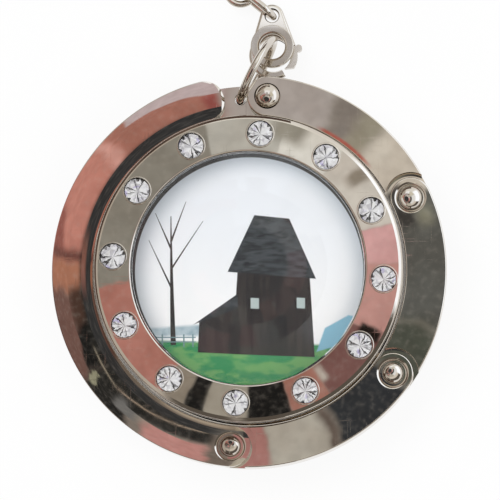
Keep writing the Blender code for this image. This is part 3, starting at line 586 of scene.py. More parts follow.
pick(claw, in_upper_part)
share = EYE_RADIUS / CLAW_RADIUS
bpy.ops.transform.resize(value=(share, share, 1), center_override=place(*CLAW, CLAW_LOW))
bpy.ops.transform.translate(value=place(EYE[0] - CLAW[0], EYE[1] - CLAW[1]))
bpy.ops.mesh.select_all(action="SELECT")
bpy.ops.mesh.edge_face_add()
bpy.ops.mesh.extrude_region_move(TRANSFORM_OT_translate={"value": place(0, 0, CLAW_THICK)})
soften(close(claw), 0.3, 5, clamp=False)
boolean(claw, lathe("cutter", [(2.15, 1.0), (1.9, 1.4), (1.9, 2.0), (2.15, 2.4)], CLAW))
boolean(claw, lathe("cutter", [(0.95, 1.0), (0.75, 1.35), (0.75, 2.05), (0.95, 2.4)], EYE, 48))
print("claw faces", len(claw.data.polygons))

# %% [markdown]
# On one side the claw is open, and a sprung lever closes it. The opening is a wedge between
# two angles, so its outline is traced, filled and extruded into a cutter. The lever's root
# turns in a slot on a pin, and slot and pin hole are round cuts about the pin.

# %% Cut the gate, the slot and the pin's hole
GATE = [(0.9, -60.1), (3.8, -60.1), (3.8, 25.9), (0.9, 25.9)]
LEVER_PIN = (4.102, 27.36)
gate = [polar(reach, degrees, CLAW) for reach, degrees in GATE]
path = [place(after[0] - before[0], after[1] - before[1])
        for before, after in zip(gate, gate[1:] + gate[:1])]
wedge = trace("gate", place(*gate[0], 0.5), path)
bpy.ops.mesh.edge_face_add()
bpy.ops.mesh.extrude_region_move(TRANSFORM_OT_translate={"value": place(0, 0, 3)})
boolean(claw, close(wedge))
boolean(claw, lathe("slot", [(1.3, 1.42), (1.3, 1.98)], LEVER_PIN, 48))
boolean(claw, lathe("pin_hole", [(0.3, 1.0), (0.3, 2.4)], LEVER_PIN, 32))
soften(claw, 0.04, 2)
print("claw with its gate", len(claw.data.polygons))

# %% [markdown]
# ## Riding on the bodies
#
# Every new piece says which CAD node it stands for, which body it moves with, and which
# material slot of the record it takes its finish from. One list holds all of it, so that
# the finishes below can go by the same slots.

# %% Let each piece ride on its body
PIECES = [(case, "drum", "polished_nickel", "case_casting")]
PIECES += [(cover, "drum", "plain_nickel", "back_cover"), (pad, "drum", "pad_rubber", "back_pad")]
PIECES += [(picture, "drum", "printed_picture", "printed_disc")]
PIECES += [(dome, "drum", "clear_dome", "dome_lens")]
PIECES += [(hook, "hook", "polished_nickel", "hook_arm")]
PIECES += [(piece, "drum", "crystal", f"stone_{k + 1:02d}") for k, piece in enumerate(crystals)]
for k, body in enumerate(("first_link", "second_link", "third_link")):
    PIECES.append((links[k], body, "polished_nickel", f"link_{k + 1}"))
for k, body in enumerate(("drum", "first_link", "second_link", "third_link")):
    PIECES.append((rivets[k], body, "rivet_nickel", f"rivet_{k + 1}"))
PIECES += [(jump, "lug_ring", "wire_nickel", "jump_ring")]
PIECES += [(small, "loose_ring", "wire_nickel", "small_ring")]
PIECES += [(claw, "clasp", "clasp_nickel", "clasp_body")]
PIECES += [(end_ring, "key_ring", "wire_nickel", "end_ring")]
for k, body in enumerate(("chain_first", "chain_second", "chain_third")):
    PIECES.append((chain[k], body, "wire_nickel", f"chain_link_{k + 1}"))
for piece, body, slot, node_name in PIECES:
    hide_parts(node_name)
    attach(piece, body)
print("riding", len(PIECES), "pieces")

# %% [markdown]
# ## Materials
#
# Colours are written as sRGB hex values, as a picture editor shows them. Shaders work with
# linear light, so one function converts them. Another adds a node with its settings and
# inputs, where an input is a plain value or the output of another node. The inputs are a
# list in the node's own order, or a dictionary by number or name.

# %% Colours and nodes
SMOOTH_STEP = {"interpolation_type": "SMOOTHSTEP"}
COLOUR_MIX = {"data_type": "RGBA", "output": 2}


def linear(hex_colour):
    """An sRGB hex colour as linear light."""
    values = [int(hex_colour[k:k + 2], 16) / 255 for k in (1, 3, 5)]
    return (*[v / 12.92 if v <= 0.04045 else ((v + 0.055) / 1.055) ** 2.4 for v in values], 1.0)


def add(material, kind, inputs=(), output=0, **settings):
    """Adds a node with its settings and inputs, and returns one of its outputs."""
    made = material.node_tree.nodes.new("ShaderNode" + kind)
    for name, value in settings.items():
        setattr(made, name, value)
    for key, value in inputs.items() if isinstance(inputs, dict) else enumerate(inputs):
        if isinstance(value, bpy.types.NodeSocket):
            material.node_tree.links.new(value, made.inputs[key])
        else:
            made.inputs[key].default_value = value
    return made.outputs[output]


def wire_up(output, socket):
    """Links an output to an input of a node that is already there."""
    socket.id_data.links.new(output, socket)


def new_material(name, colour, roughness, metallic=0.0, **sockets):
    """A material with its shader, whose constants sit on the shader's own sockets."""
    material = bpy.data.materials.new(name)
    material.use_nodes = True
    shader = material.node_tree.nodes["Principled BSDF"]
    settings = {"Base Color": linear(colour), "Roughness": roughness, "Metallic": metallic}
    for key, value in {**settings, **sockets}.items():
        shader.inputs[key].default_value = value
    return material, shader


print("white is", linear("#ffffff"))

# %% [markdown]
# ### Patches
#
# No real surface is the same all over. Most finishes here vary in soft patches of a known
# size. Image textures would need files, so the patches are noise: its scale is one over the
# size in metres, and two levels of the noise mark where a patch starts and where it is full.

# %% Draw patches and two close tones
def patches(material, size_mm, low, high, values=(0.0, 1.0), detail=2.0, stretch=(1, 1, 1)):
    """Patches about this many millimetres wide, from the first value to the second."""
    space = add(material, "TexCoord", output="Object")
    moved = add(material, "Mapping", {"Vector": space, "Scale": stretch})
    cloud = {"Vector": moved, "Scale": 1 / (size_mm * MM), "Detail": detail}
    cloud = add(material, "TexNoise", cloud)
    return add(material, "MapRange", [cloud, low, high, *values], **SMOOTH_STEP)


def two_tones(material, first, second, size_mm, low, high, detail=2.0, stretch=(1, 1, 1)):
    """A colour with patches of a second, close colour."""
    mask = patches(material, size_mm, low, high, (0.0, 1.0), detail, stretch)
    return add(material, "Mix", {0: mask, 6: linear(first), 7: linear(second)}, **COLOUR_MIX)


print("patches ready")

# %% [markdown]
# ### Polished nickel
#
# The links, hook and drum are zinc castings, polished and nickel plated. Plating gives a
# warm white metal with a mirror finish. Handling leaves a haze in patches of 3 mm and
# hairline scratches, and the polished casting is never quite flat, so what it mirrors wavers
# a little over 2.4 mm. Real hairlines are a few hundredths of a millimetre wide. They are
# drawn 0.16 mm wide, which is as coarse as it needs to show in the render.

# %% Plate a metal
def nickel(name, colour, tint, roughness, haze, wave=1.0):
    """A plated metal. The wave is 2.5 thousandths of a millimetre high where it is 1."""
    material, shader = new_material(name, colour, roughness, 1.0)
    wire_up(two_tones(material, colour, tint, 5.0, 0.35, 0.65), shader.inputs["Base Color"])
    smear = patches(material, 3.0, 0.5, 0.8, (roughness, roughness + haze), 4.0)
    hairlines = [patches(material, 0.16, 0.66, 0.74, detail=1.0, stretch=stretch)
                 for stretch in ((1, 0.04, 1), (0.05, 1, 1))]
    hairlines = add(material, "Math", hairlines, operation="MAXIMUM")
    worn = patches(material, 4.0, 0.45, 0.62, (0.0, 0.10), 1.0)
    worn = add(material, "Math", [hairlines, worn], operation="MULTIPLY")
    rough = add(material, "Math", [smear, worn], operation="ADD")
    wire_up(rough, shader.inputs["Roughness"])
    space = add(material, "TexCoord", output="Object")
    ripple = {"Vector": space, "Scale": 1 / (2.4 * MM), "Detail": 1.0}
    ripple = add(material, "TexNoise", ripple)
    wavy = {"Height": ripple, "Strength": 1.0, "Distance": 0.0025 * wave * MM}
    wire_up(add(material, "Bump", wavy), shader.inputs["Normal"])
    return material


# Plate on polished zinc: a warm mirror with sharp images that hardly waver.
cast_nickel = nickel("polished_nickel_on_zinc", "#d8d1c7", "#cfc6bb", 0.03, 0.04, 0.3)
# Plate on drawn steel wire: bright, with soft-edged lines along the wire.
wire_nickel = nickel("bright_nickel_on_steel_wire", "#d6d0c8", "#cbc3b8", 0.06, 0.06, 0.4)
# Plate on turned and polished heads: small clear highlights, dark at the rim.
rivet_nickel = nickel("polished_nickel_rivet", "#d6cfc6", "#c9c0b5", 0.04, 0.05, 0.4)
# Plate on a tumbled casting: bright, with blurred images that waver.
clasp_nickel = nickel("polished_nickel_clasp", "#dad4cb", "#cfc7bd", 0.08, 0.08)
# Plate on a stamping as it comes from the press: silky, with no images in it.
satin_nickel = nickel("satin_nickel_stamping", "#cfc8be", "#c2b9ae", 0.22, 0.10)
# Thin plate on a sintered magnet: a dull, greyer mirror.
magnet_nickel = nickel("nickel_plated_magnet", "#c8c3bc", "#bbb5ad", 0.14, 0.08)
# Bare rolled spring steel: grey and silky.
spring_steel = nickel("rolled_spring_steel", "#b9b4ac", "#aaa49b", 0.24, 0.10)
print("metals ready, the drum in", cast_nickel.name)

# %% [markdown]
# ### Rubber and glass
#
# The pad is moulded rubber with fine ribs in rings, which grip the table. The ribs could be
# modelled, but they are only a tenth of a millimetre high, so a bump draws them. A wave
# texture repeats about 3.2 times in one unit of its scale, so a unit of 5 mm puts the ribs
# 1.6 mm apart. The dome is clear glass, whose look is all in its refraction.

# %% Make the rubber and the glass
# Moulded rubber: a dull near-black with grey dust in its grain.
rubber, shader = new_material("moulded_rubber", "#26262a", 0.75)
space = add(rubber, "TexCoord", output="Object")
rings = {"wave_type": "RINGS", "rings_direction": "Z", "output": "Fac"}
ribs = add(rubber, "TexWave", {"Vector": space, "Scale": 1 / (5.0 * MM)}, **rings)
ridged = add(rubber, "Bump", {"Height": ribs, "Strength": 0.6, "Distance": 0.1 * MM})
wire_up(ridged, shader.inputs["Normal"])
dusty = two_tones(rubber, "#242428", "#3a3a3e", 1.2, 0.5, 0.75, 4.0)
wire_up(dusty, shader.inputs["Base Color"])

# Pressed clear glass: white highlights, and a picture that seems to lie just under it.
CLEAR = {"Transmission Weight": 1.0}
glass, shader = new_material("clear_glass_dome", "#ffffff", 0.0, IOR=1.5, **CLEAR)
print("made", rubber.name, "and", glass.name)

# %% [markdown]
# ### Cut crystal
#
# The crystals are cut glass, foiled behind, so their backs send back what comes in through
# the crown. Each facet catches another part of the room. True foil would need many more
# bounces of light than a render has time for, so every facet carries a painted reflection of
# its own, a shade from dark to white, as an attribute, and both materials read it.

# %% Make the crown and the foil
# Cut glass: clear, with painted shade, a faint grey, in a few facets.
crown_glass, shader = new_material("cut_crystal_painted_shade", "#ffffff", 0.0, IOR=1.55, **CLEAR)
shade = add(crown_glass, "Attribute", output="Fac", attribute_name="painted_facet_light")
clear = add(crown_glass, "MapRange", [shade, 0.10, 0.35, 0.0, 1.0], **SMOOTH_STEP)
tints = {0: clear, 6: linear("#c4c2c8"), 7: linear("#ffffff")}
wire_up(add(crown_glass, "Mix", tints, **COLOUR_MIX), shader.inputs["Base Color"])

# Silvered foil: painted reflections in facets from dark to white, with painted violet glints.
foil, shader = new_material("crystal_foil_painted_reflection", "#f6f5f8", 0.10, 0.3)
painted_glints = two_tones(foil, "#fdfdfd", "#d9d2f4", 0.9, 0.64, 0.70, 1.0)
shade = add(foil, "Attribute", output="Fac", attribute_name="painted_facet_light")
lit = add(foil, "MapRange", [shade, 0.10, 0.42, 0.0, 1.0], **SMOOTH_STEP)
facets = {0: lit, 6: linear("#3a3838"), 7: painted_glints}
wire_up(add(foil, "Mix", facets, **COLOUR_MIX), shader.inputs["Base Color"])
print("made", crown_glass.name, "and", foil.name)

# %% [markdown]
# ### The picture
#
# A plain country view is printed on the disc: a pale sky, a dark barn with a lean-to, a bare
# tree and a green field. Each shape is a mask. A straight edge is a distance from a line,
# and the smallest distance inside several edges draws a convex outline.

# %% Prepare the print
# Ink on paper, glued to the glass: matt, with no gloss of its own under the dome.
NO_GLOSS = {"Specular IOR Level": 0.0}
print_ink, print_shader = new_material("printed_paper", "#e8eef2", 0.45, **NO_GLOSS)
position = add(print_ink, "SeparateXYZ", [add(print_ink, "TexCoord", output="Object")])
ACROSS, UP = position.node.outputs["X"], position.node.outputs["Y"]


def paint(view, corners, colour, soft=0.04):
    """Paints a convex shape. Its corners, in millimetres, run anticlockwise."""
    nearest = None
    for (x0, y0), (x1, y1) in zip(corners, corners[1:] + corners[:1]):
        length = math.hypot(x1 - x0, y1 - y0)
        nx, ny = -(y1 - y0) / length, (x1 - x0) / length
        along = add(print_ink, "Math", [ACROSS, nx], operation="MULTIPLY")
        along = add(print_ink, "Math", [UP, ny, along], operation="MULTIPLY_ADD")
        edge = (x0 * nx + y0 * ny) * MM
        distance = add(print_ink, "Math", [along, edge], operation="SUBTRACT")
        if nearest is not None:
            distance = add(print_ink, "Math", [nearest, distance], operation="MINIMUM")
        nearest = distance
    limits = [nearest, -soft * MM, soft * MM, 0.0, 1.0]
    mask = add(print_ink, "MapRange", limits, **SMOOTH_STEP)
    return add(print_ink, "Mix", {0: mask, 6: view, 7: colour}, **COLOUR_MIX)


print("print ready")

# %% [markdown]
# The sky is a little bluer towards the top, and greyer towards the rim, which is painted shade
# under the window's wall. Wood, roof and grass are each two close tones, in patches stretched
# along the boards, the courses and the blades.

# %% Paint the sky and mix the tones
high_up = add(print_ink, "MapRange", [UP, -8 * MM, 8 * MM, 0.0, 1.0], **SMOOTH_STEP)
sky = {0: high_up, 6: linear("#ffffff"), 7: linear("#f2f6fb")}
sky = add(print_ink, "Mix", sky, **COLOUR_MIX)
squares = [add(print_ink, "Math", [side, side], operation="MULTIPLY") for side in (ACROSS, UP)]
reach = add(print_ink, "Math", squares, operation="ADD")
reach = add(print_ink, "Math", [reach], operation="SQRT")
# Painted shade: the print turns greyer towards the rim of the window.
painted_rim_grey = add(print_ink, "MapRange", [reach, 10.2 * MM, GLASS * MM, 0.0, 0.45], **SMOOTH_STEP)
view = add(print_ink, "Mix", {0: painted_rim_grey, 6: sky, 7: linear("#a9bccb")}, **COLOUR_MIX)
wood = two_tones(print_ink, "#120d0c", "#2a211e", 0.5, 0.4, 0.6, stretch=(1, 0.08, 1))
roof = two_tones(print_ink, "#202428", "#3d4246", 0.35, 0.4, 0.6, stretch=(0.3, 1, 1))
grass = two_tones(print_ink, "#2a8f55", "#6aa760", 1.1, 0.4, 0.6, 3.0, (0.5, 1, 1))
far_trees = two_tones(print_ink, "#9db4bf", "#b9cad1", 1.5, 0.4, 0.6, 3.0)
print("sky and tones take", len(print_ink.node_tree.nodes), "nodes")

# %% [markdown]
# The view is painted from far to near, as with real paint: the far trees and the field, the
# barn's wall and roof, the lean-to's, a pond, and the door and windows.

# %% Paint the field and the barn
SHAPES = [([(-13, -7.2), (0, -7.2), (0, -5.7), (-6, -6.0), (-13, -6.5)], far_trees, 0.25)]
SHAPES += [([(-13.2, -13.2), (13.2, -13.2), (13.2, -8.4), (-13.2, -7.6)], grass, 0.2)]
SHAPES += [([(-1.8, -9.2), (7.2, -9.6), (6.6, -0.5), (-1.2, 0.2)], wood, 0.04)]
SHAPES += [([(-2.3, -0.2), (7.3, -1.0), (4.4, 5.6), (0.6, 6.0)], roof, 0.04)]
SHAPES += [([(-5.6, -9.0), (-1.5, -9.2), (-1.4, -4.2), (-5.4, -5.6)], wood, 0.04)]
SHAPES += [([(-6.0, -5.9), (-1.2, -4.2), (-1.2, -2.6)], roof, 0.04)]
POND = [(7.4, -9.0), (9.6, -8.4), (12.0, -5.2), (10.9, -5.0), (8.3, -6.4)]
DOOR = [(2.0, -9.35), (4.2, -9.4), (4.1, -5.0), (2.1, -4.9)]
SHAPES += [(POND, linear("#86bfd6"), 0.1), (DOOR, linear("#080605"), 0.04)]
for x in (0.2, 5.2):
    window = [(x, -4.2), (x + 0.9, -4.25), (x + 0.9, -3.1), (x, -3.05)]
    SHAPES.append((window, linear("#b8c6c4"), 0.04))
for corners, colour, soft in SHAPES:
    view = paint(view, corners, colour, soft)
print("painted", len(SHAPES), "shapes")

# %% [markdown]
# Trunk, branches and fence are thin shapes, so their edges are sharper. The print ends in a
# dark rim under the dome's edge: painted shade where the glass's edge mirrors the window's dark
# wall.

# %% Paint the tree, the fence and the rim
TRUNK = [(-8.6, -8.2), (-8.0, -8.2), (-8.5, 6.0), (-8.6, 6.0)]
BRANCHES = [((-8.4, -2), (-11, 3.4)), ((-8.45, 0.2), (-5.0, 5.4))]
BRANCHES += [((-8.5, 2.4), (-10.3, 6.4)), ((-8.5, 3.2), (-6.9, 7.6))]
ROOT_HALF, TWIG_HALF, POST, RAIL, THIN = 0.12, 0.03, 0.16, 0.12, 0.03


def slat(x0, y0, x1, y1):
    """An upright rectangle's corners."""
    return [(x0, y0), (x1, y0), (x1, y1), (x0, y1)]


view = paint(view, TRUNK, linear("#1d1a19"))
for (x0, y0), (x1, y1) in BRANCHES:
    root = [(x0 - ROOT_HALF, y0), (x0 + ROOT_HALF, y0)]
    twig = [(x1 + TWIG_HALF, y1), (x1 - TWIG_HALF, y1)]
    view = paint(view, root + twig, linear("#2c2928"), THIN)
fence = [slat(x, -8.4, x + POST, -7.0) for x in (-12.0, -10.8, -9.6, -7.2, -6.2)]
fence += [slat(-12.6, y, -5.8, y + RAIL) for y in (-7.4, -7.9)]
for corners in fence:
    view = paint(view, corners, linear("#6f8f93"), THIN)
# Painted shade: a dark rim at the print's edge, under the dome's edge.
painted_rim_shade = add(print_ink, "MapRange", [reach, 12.5 * MM, 12.6 * MM, 0.0, 1.0], **SMOOTH_STEP)
view = add(print_ink, "Mix", {0: painted_rim_shade, 6: view, 7: linear("#1c1a18")}, **COLOUR_MIX)
wire_up(view, print_shader.inputs["Base Color"])
print("picture nodes", len(print_ink.node_tree.nodes))

# %% [markdown]
# ### Dressing the pieces
#
# The pieces take the finish of their slot. The crystals take two, glass on the crown and
# foil on the pointed back. The five CAD pieces that stay, which are the magnets and the
# clasp's small parts, get finishes too.

# %% Dress every piece
FINISHES = {"polished_nickel": cast_nickel, "plain_nickel": satin_nickel}
FINISHES |= {"rivet_nickel": rivet_nickel, "wire_nickel": wire_nickel}
FINISHES |= {"clasp_nickel": clasp_nickel, "pad_rubber": rubber}
FINISHES |= {"printed_picture": print_ink, "clear_dome": glass}
KEPT = {"case_magnet": magnet_nickel, "hook_magnet": magnet_nickel, "clasp_lever": satin_nickel}
KEPT |= {"clasp_pin": rivet_nickel, "clasp_spring": spring_steel}


def dress(obj, *materials):
    """Gives a piece these materials in place of its own."""
    obj.data.materials.clear()
    for material in materials:
        obj.data.materials.append(material)


for piece, _, slot, _ in PIECES:
    if slot != "crystal":
        dress(piece, FINISHES[slot])
for name, material in KEPT.items():
    dress(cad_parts[name], material)
print("dressed", len(PIECES) - len(crystals) + len(KEPT), "pieces")

# %% [markdown]
# Neighbouring facets need painted shades that differ. Random shades could come out alike, so
# each facet's painted shade is the last one plus 0.618, which spreads any number of them evenly.

# %% Dress the crystals
FOIL_TOP = 8.17
SHADE_STEP = 0.618
for piece in crystals:
    dress(piece, crown_glass, foil)
    for face in piece.data.polygons:
        face.material_index = 1 if face.center.z < FOIL_TOP * MM else 0
    # Every facet's painted reflection: a shade from dark to white.
    painted_facet_lights = piece.data.attributes.new("painted_facet_light", "FLOAT", "FACE")
    for index, item in enumerate(painted_facet_lights.data):
        item.value = (index * SHADE_STEP) % 1
print("dressed", len(crystals), "crystals")

# %% [markdown]
# ## What the metal mirrors
#
# A mirror has no look of its own, only that of the room. Lamps alone would leave the metal
# black and white. So a card above the object carries painted reflections as soft zones: warm
# brown on the left, dark in the middle, and pale and grey elsewhere. The card glows, though it
# is no lamp. Only reflections see the card. Lamps, shadows and the camera pass it by.

# %% Hang the card above the object
CARD_HEIGHT, CARD_SIZE = 46.2, 220
CARD_CENTRE = (-2.1, 5.1)
UNSEEN_BY = ("camera", "diffuse", "transmission", "shadow", "volume_scatter")
middle = place(*CARD_CENTRE, CARD_HEIGHT)
grid = {"x_subdivisions": 4, "y_subdivisions": 4, "size": CARD_SIZE * MM}
bpy.ops.mesh.primitive_grid_add(location=middle, **grid)
card = close(begin("reflected_surroundings"))
for kind in UNSEEN_BY:
    setattr(card, "visible_" + kind, False)
print("card ready", card.name)

# %% [markdown]
# A zone lies between two angles and two distances round the card's centre. The angle is
# counted from a cut below the centre, so that no zone crosses it, and a slow noise bends the
# zones' ends a little. Rays spread on their way from the metal up to the card, so a place on
# it is 1.09 times as far out as what mirrors it. Distances are divided by that, and a zone
# is written with the object's own radii.

# %% Measure angle and distance on the card
CUT = -96.0
CARD_TO_OBJECT = 1.09
# Painted reflections that glow, though the card is no lamp: no gloss, and colours only as strong
# as the metal shows them.
surroundings = bpy.data.materials.new("reflected_surroundings")
surroundings.use_nodes = True
surroundings.node_tree.nodes.remove(surroundings.node_tree.nodes["Principled BSDF"])
space = add(surroundings, "TexCoord", output="Object")
centred = {"Vector": space, "Location": -place(*CARD_CENTRE)}
flat = add(surroundings, "SeparateXYZ", [add(surroundings, "Mapping", centred)]).node.outputs
level = add(surroundings, "CombineXYZ", [flat["X"], flat["Y"], 0.0])
length = add(surroundings, "VectorMath", [level], "Value", operation="LENGTH")
DISTANCE = add(surroundings, "Math", [length, CARD_TO_OBJECT * MM], operation="DIVIDE")
angle = add(surroundings, "Math", [flat["Y"], flat["X"]], operation="ARCTAN2")
angle = add(surroundings, "Math", [angle], operation="DEGREES")
warp = patches(surroundings, 6.0, 0.3, 0.7, (-1.5, 1.5), 3.0)
angle = add(surroundings, "Math", [angle, warp], operation="ADD")
angle = add(surroundings, "Math", [angle, CUT], operation="SUBTRACT")
ANGLE = add(surroundings, "Math", [angle, 360.0], operation="FLOORED_MODULO")
print("card measured with", len(surroundings.node_tree.nodes), "nodes")

# %% [markdown]
# Nickel takes a part of the light that it mirrors. A zone's colour is written as the metal
# shows it, so its light is that colour divided by the metal's own. A zone's mask is the
# product of its four soft edges.

# %% Paint one zone
METAL = linear("#d3ccc1")


def mirrored(hex_colour):
    """The light that shows as this colour in nickel."""
    return (*[value / own for value, own in zip(linear(hex_colour)[:3], METAL)], 1.0)


def beyond(edge, start, end):
    """How far past an edge a point is. A pair runs from one radius to another."""
    if isinstance(edge, tuple):
        edge = add(surroundings, "MapRange", [ANGLE, start, end, *edge])
    return add(surroundings, "Math", [DISTANCE, edge], operation="SUBTRACT")


def zone(before, colour, start, end, near, far, soft, soft_mm):
    """Paints a zone from start to end degrees and near to far millimetres, softly edged."""
    start, end = start - CUT, end - CUT
    edges = [(ANGLE, start - soft, start + soft, 0.0, 1.0)]
    edges += [(ANGLE, end - soft, end + soft, 1.0, 0.0)]
    edges += [(beyond(near, start, end), -soft_mm, soft_mm, 0.0, 1.0)]
    edges += [(beyond(far, start, end), -soft_mm, soft_mm, 1.0, 0.0)]
    sides = [add(surroundings, "MapRange", edge, **SMOOTH_STEP) for edge in edges]
    mask = sides[0]
    for side in sides[1:]:
        mask = add(surroundings, "Math", [mask, side], operation="MULTIPLY")
    return add(surroundings, "Mix", {0: mask, 6: before, 7: mirrored(colour)}, **COLOUR_MIX)


print("the metal's own colour", [round(value, 3) for value in METAL])

# %% [markdown]
# First come the wide zones outside and the band that the flat links mirror. Each is a
# colour with its first and last degree, and the links' zones say how soft their ends are.

# %% Paint the far zones and the links' zones
FAR_FROM, CARD_EDGE = 23.0, 400
LINK_BAND = (17.3, 23.6)
FAR_ZONES = [("#a59c90", 104, 150), ("#9c665b", 150, 182), ("#5a4038", 182, 215)]
FAR_ZONES += [("#7b7167", 215, 264), ("#a89e8c", -96, -50), ("#d9d5cc", -50, 30)]
FAR_ZONES += [("#c6bda8", 30, 64), ("#efece6", 64, 104)]
LINK_ZONES = [("#a39a92", 62, 100, 3.0), ("#7d746b", 54, 62, 3.0), ("#8f8876", 46, 54, 2.5)]
LINK_ZONES += [("#bfb5a5", 24, 46, 3.0), ("#56554f", -18, 24, 1.0), ("#484a40", -36, -18, 4.0)]
LINK_ZONES += [("#2e2f30", -62, -36, 2.0), ("#5d5148", -66, -62, 2.0)]
LINK_ZONES += [("#a59e90", -84, -66, 2.0), ("#9d6e66", -96, -84, 1.0)]
look = mirrored("#8a8276")
for colour, start, end in FAR_ZONES:
    look = zone(look, colour, start, end, FAR_FROM, CARD_EDGE, 6, 1.5)
for colour, start, end, soft in LINK_ZONES:
    look = zone(look, colour, start, end, *LINK_BAND, soft, 0.1)
print("zones so far", len(FAR_ZONES) + len(LINK_ZONES))

# %% [markdown]
# The crowned hook spreads its reflection over a wide stretch of the card, so its zones reach
# further out than those of the flat links. Some of their edges run from one radius to
# another, which draws the slanting bands.

# %% Paint the hook's zones
HOOK_ZONES = [("#b5796a", 100, 178, 17.6, 28.5, 2.0, 0.2)]
HOOK_ZONES += [("#9a6758", 100, 139, 17.6, 28.5, 8.0, 0.2)]
HOOK_ZONES += [("#b4a29f", 97, 130, (20.6, 25.0), 28.5, 1.0, 0.3)]
HOOK_ZONES += [("#8f4f48", 99, 104, 18.6, 20.6, 1.5, 0.3)]
HOOK_ZONES += [("#c99486", 138, 142, 18.6, 28.5, 2.0, 0.6)]
HOOK_ZONES += [("#8a544a", 158, 176, (27.0, 21.6), 28.5, 4.0, 1.5)]
HOOK_ZONES += [("#6b453d", 172, 176.5, 18.0, 28.5, 2.0, 0.6)]
HOOK_ZONES += [("#a06c55", 176.5, 187, 17.6, 28.5, 2.0, 0.2)]
HOOK_ZONES += [("#6a4e45", 186, 213, 17.6, 28.5, 3.0, 0.2)]
HOOK_ZONES += [("#453229", 184, 200, 18.6, 20.6, 3.0, 0.6)]
HOOK_ZONES += [("#1b1a18", 196, 214, 17.6, (19.6, 24.0), 3.0, 0.6)]
HOOK_ZONES += [("#262522", 213, 231, 17.6, 28.5, 1.5, 0.2)]
HOOK_ZONES += [("#8d8a72", 213.4, 215.8, 21.3, 26.0, 0.5, 0.5)]
HOOK_ZONES += [("#6c6a66", 225, 234, 20.3, 24.5, 2.0, 0.5)]
HOOK_ZONES += [("#b07d74", 237, 258, (21.4, 20.3), 28.5, 2.5, 0.3)]
HOOK_ZONES += [("#262522", 229, 262, 17.6, (20.9, 20.2), 2.0, 0.3)]
HOOK_ZONES += [("#262522", 108, 229, 17.6, (18.9, 19.3), 5.0, 0.35)]
HOOK_ZONES += [("#6d6258", 257, 264, 17.6, 28.5, 2.0, 0.3)]
HOOK_ZONES += [("#9c907c", 206, 222, (19.5, 19.92), (19.62, 20.04), 2.0, 0.05)]
HOOK_ZONES += [("#a8947f", 222, 255, (19.92, 18.95), (20.04, 19.07), 2.0, 0.05)]
for details in HOOK_ZONES:
    look = zone(look, *details)
print("the hook's zones", len(HOOK_ZONES))

# %% [markdown]
# The bezel mirrors the stretch inside the links' band, with sharper ends. Its middle is
# dark, which the picture's glass mirrors. Chamfers and round edges look out to the sides and
# mirror the card's outer part, which is pale, with a dark border below.

# %% Paint the zones of the bezel and of the edges
BEZEL_BAND = (11.5, 17.2)
BEZEL_ZONES = [("#c0b8ab", 16, 50), ("#d0cbbf", 50, 74), ("#aeaa9e", 74, 107)]
BEZEL_ZONES += [("#807a6e", 107, 187.5), ("#a46e61", 187.5, 236), ("#84796a", 236, 246)]
BEZEL_ZONES += [("#1b1a18", 246, 254), ("#948c7d", 254, 264), ("#948c7d", -96, -90)]
BEZEL_ZONES += [("#1b1a18", -90, -72), ("#96685a", -72, -57), ("#72504a", -57, -30)]
BEZEL_ZONES += [("#b5877d", -30, 0), ("#c79893", 0, 16)]
EDGE_ZONES = [("#d8d2c4", 50, 107, 40.0), ("#a99d8d", 107, 236, 40.0)]
EDGE_ZONES += [("#b5a898", 236, 264, 36.0), ("#4f473d", 236, 264, 52.0)]
EDGE_ZONES += [("#c9bdab", -96, -14, 36.0), ("#4f473d", -96, -14, 52.0)]
EDGE_ZONES += [("#fdfdfb", -14, 50, 40.0)]
for colour, start, end in BEZEL_ZONES:
    look = zone(look, colour, start, end, *BEZEL_BAND, 0.8, 0.05)
for colour, start, end, near in EDGE_ZONES:
    look = zone(look, colour, start, end, near, CARD_EDGE, 5.0, 4.0)
look = zone(look, "#302f2e", CUT, CUT + 360, -50, BEZEL_BAND[0], 10, 1.0)
print("zones of bezel and edges", len(BEZEL_ZONES) + len(EDGE_ZONES))

# %% [markdown]
# Last come small zones, where the real metal mirrors one thing in particular. Two noises
# keep the painted reflections from looking even: lighter mottling of a millimetre, and a
# shade that comes and goes by a few percent.

# %% Paint the small zones and light the card
SMALL_ZONES = [("#a3584a", 43, 64, 17.5, 18.15, 3.0, 0.1)]
SMALL_ZONES += [("#8f897b", 66, 79, 13.8, 16.6, 3.0, 0.9)]
SMALL_ZONES += [("#8a8071", 35, 42, 13.8, 16.4, 2.0, 0.8)]
SMALL_ZONES += [("#1d1814", -32.5, -27.5, 13.6, 16.2, 1.2, 0.3)]
SMALL_ZONES += [("#b3aa9c", -57, -53.5, 13.0, 14.8, 1.5, 0.4)]
SMALL_ZONES += [("#7d5448", 168, 184, 7.8, 11.4, 6.0, 0.8)]
SMALL_ZONES += [("#3d3a36", 16, 29, 17.6, 19.5, 2.0, 0.5)]
SMALL_ZONES += [("#827f6d", 15, 21, 20.0, 21.6, 3.0, 0.8)]
SMALL_ZONES += [("#a09890", 78, 92, 22.6, 29.0, 3.0, 0.4)]
for details in SMALL_ZONES:
    look = zone(look, *details)
# Painted reflection: lighter mottling of a millimetre in what the metal mirrors.
mottled_reflection = patches(surroundings, 0.7, 0.45, 0.8, (0.0, 0.14), 4.0)
mottled_reflection = {0: mottled_reflection, 6: look, 7: mirrored("#b5aca0")}
look = add(surroundings, "Mix", mottled_reflection, **COLOUR_MIX)
shade = patches(surroundings, 1.6, 0.3, 0.7, (0.93, 1.07), 4.0)
light = add(surroundings, "Emission", {"Color": look, "Strength": shade})
wire_up(light, surroundings.node_tree.nodes["Material Output"].inputs["Surface"])
dress(card, surroundings)
print("card nodes", len(surroundings.node_tree.nodes))

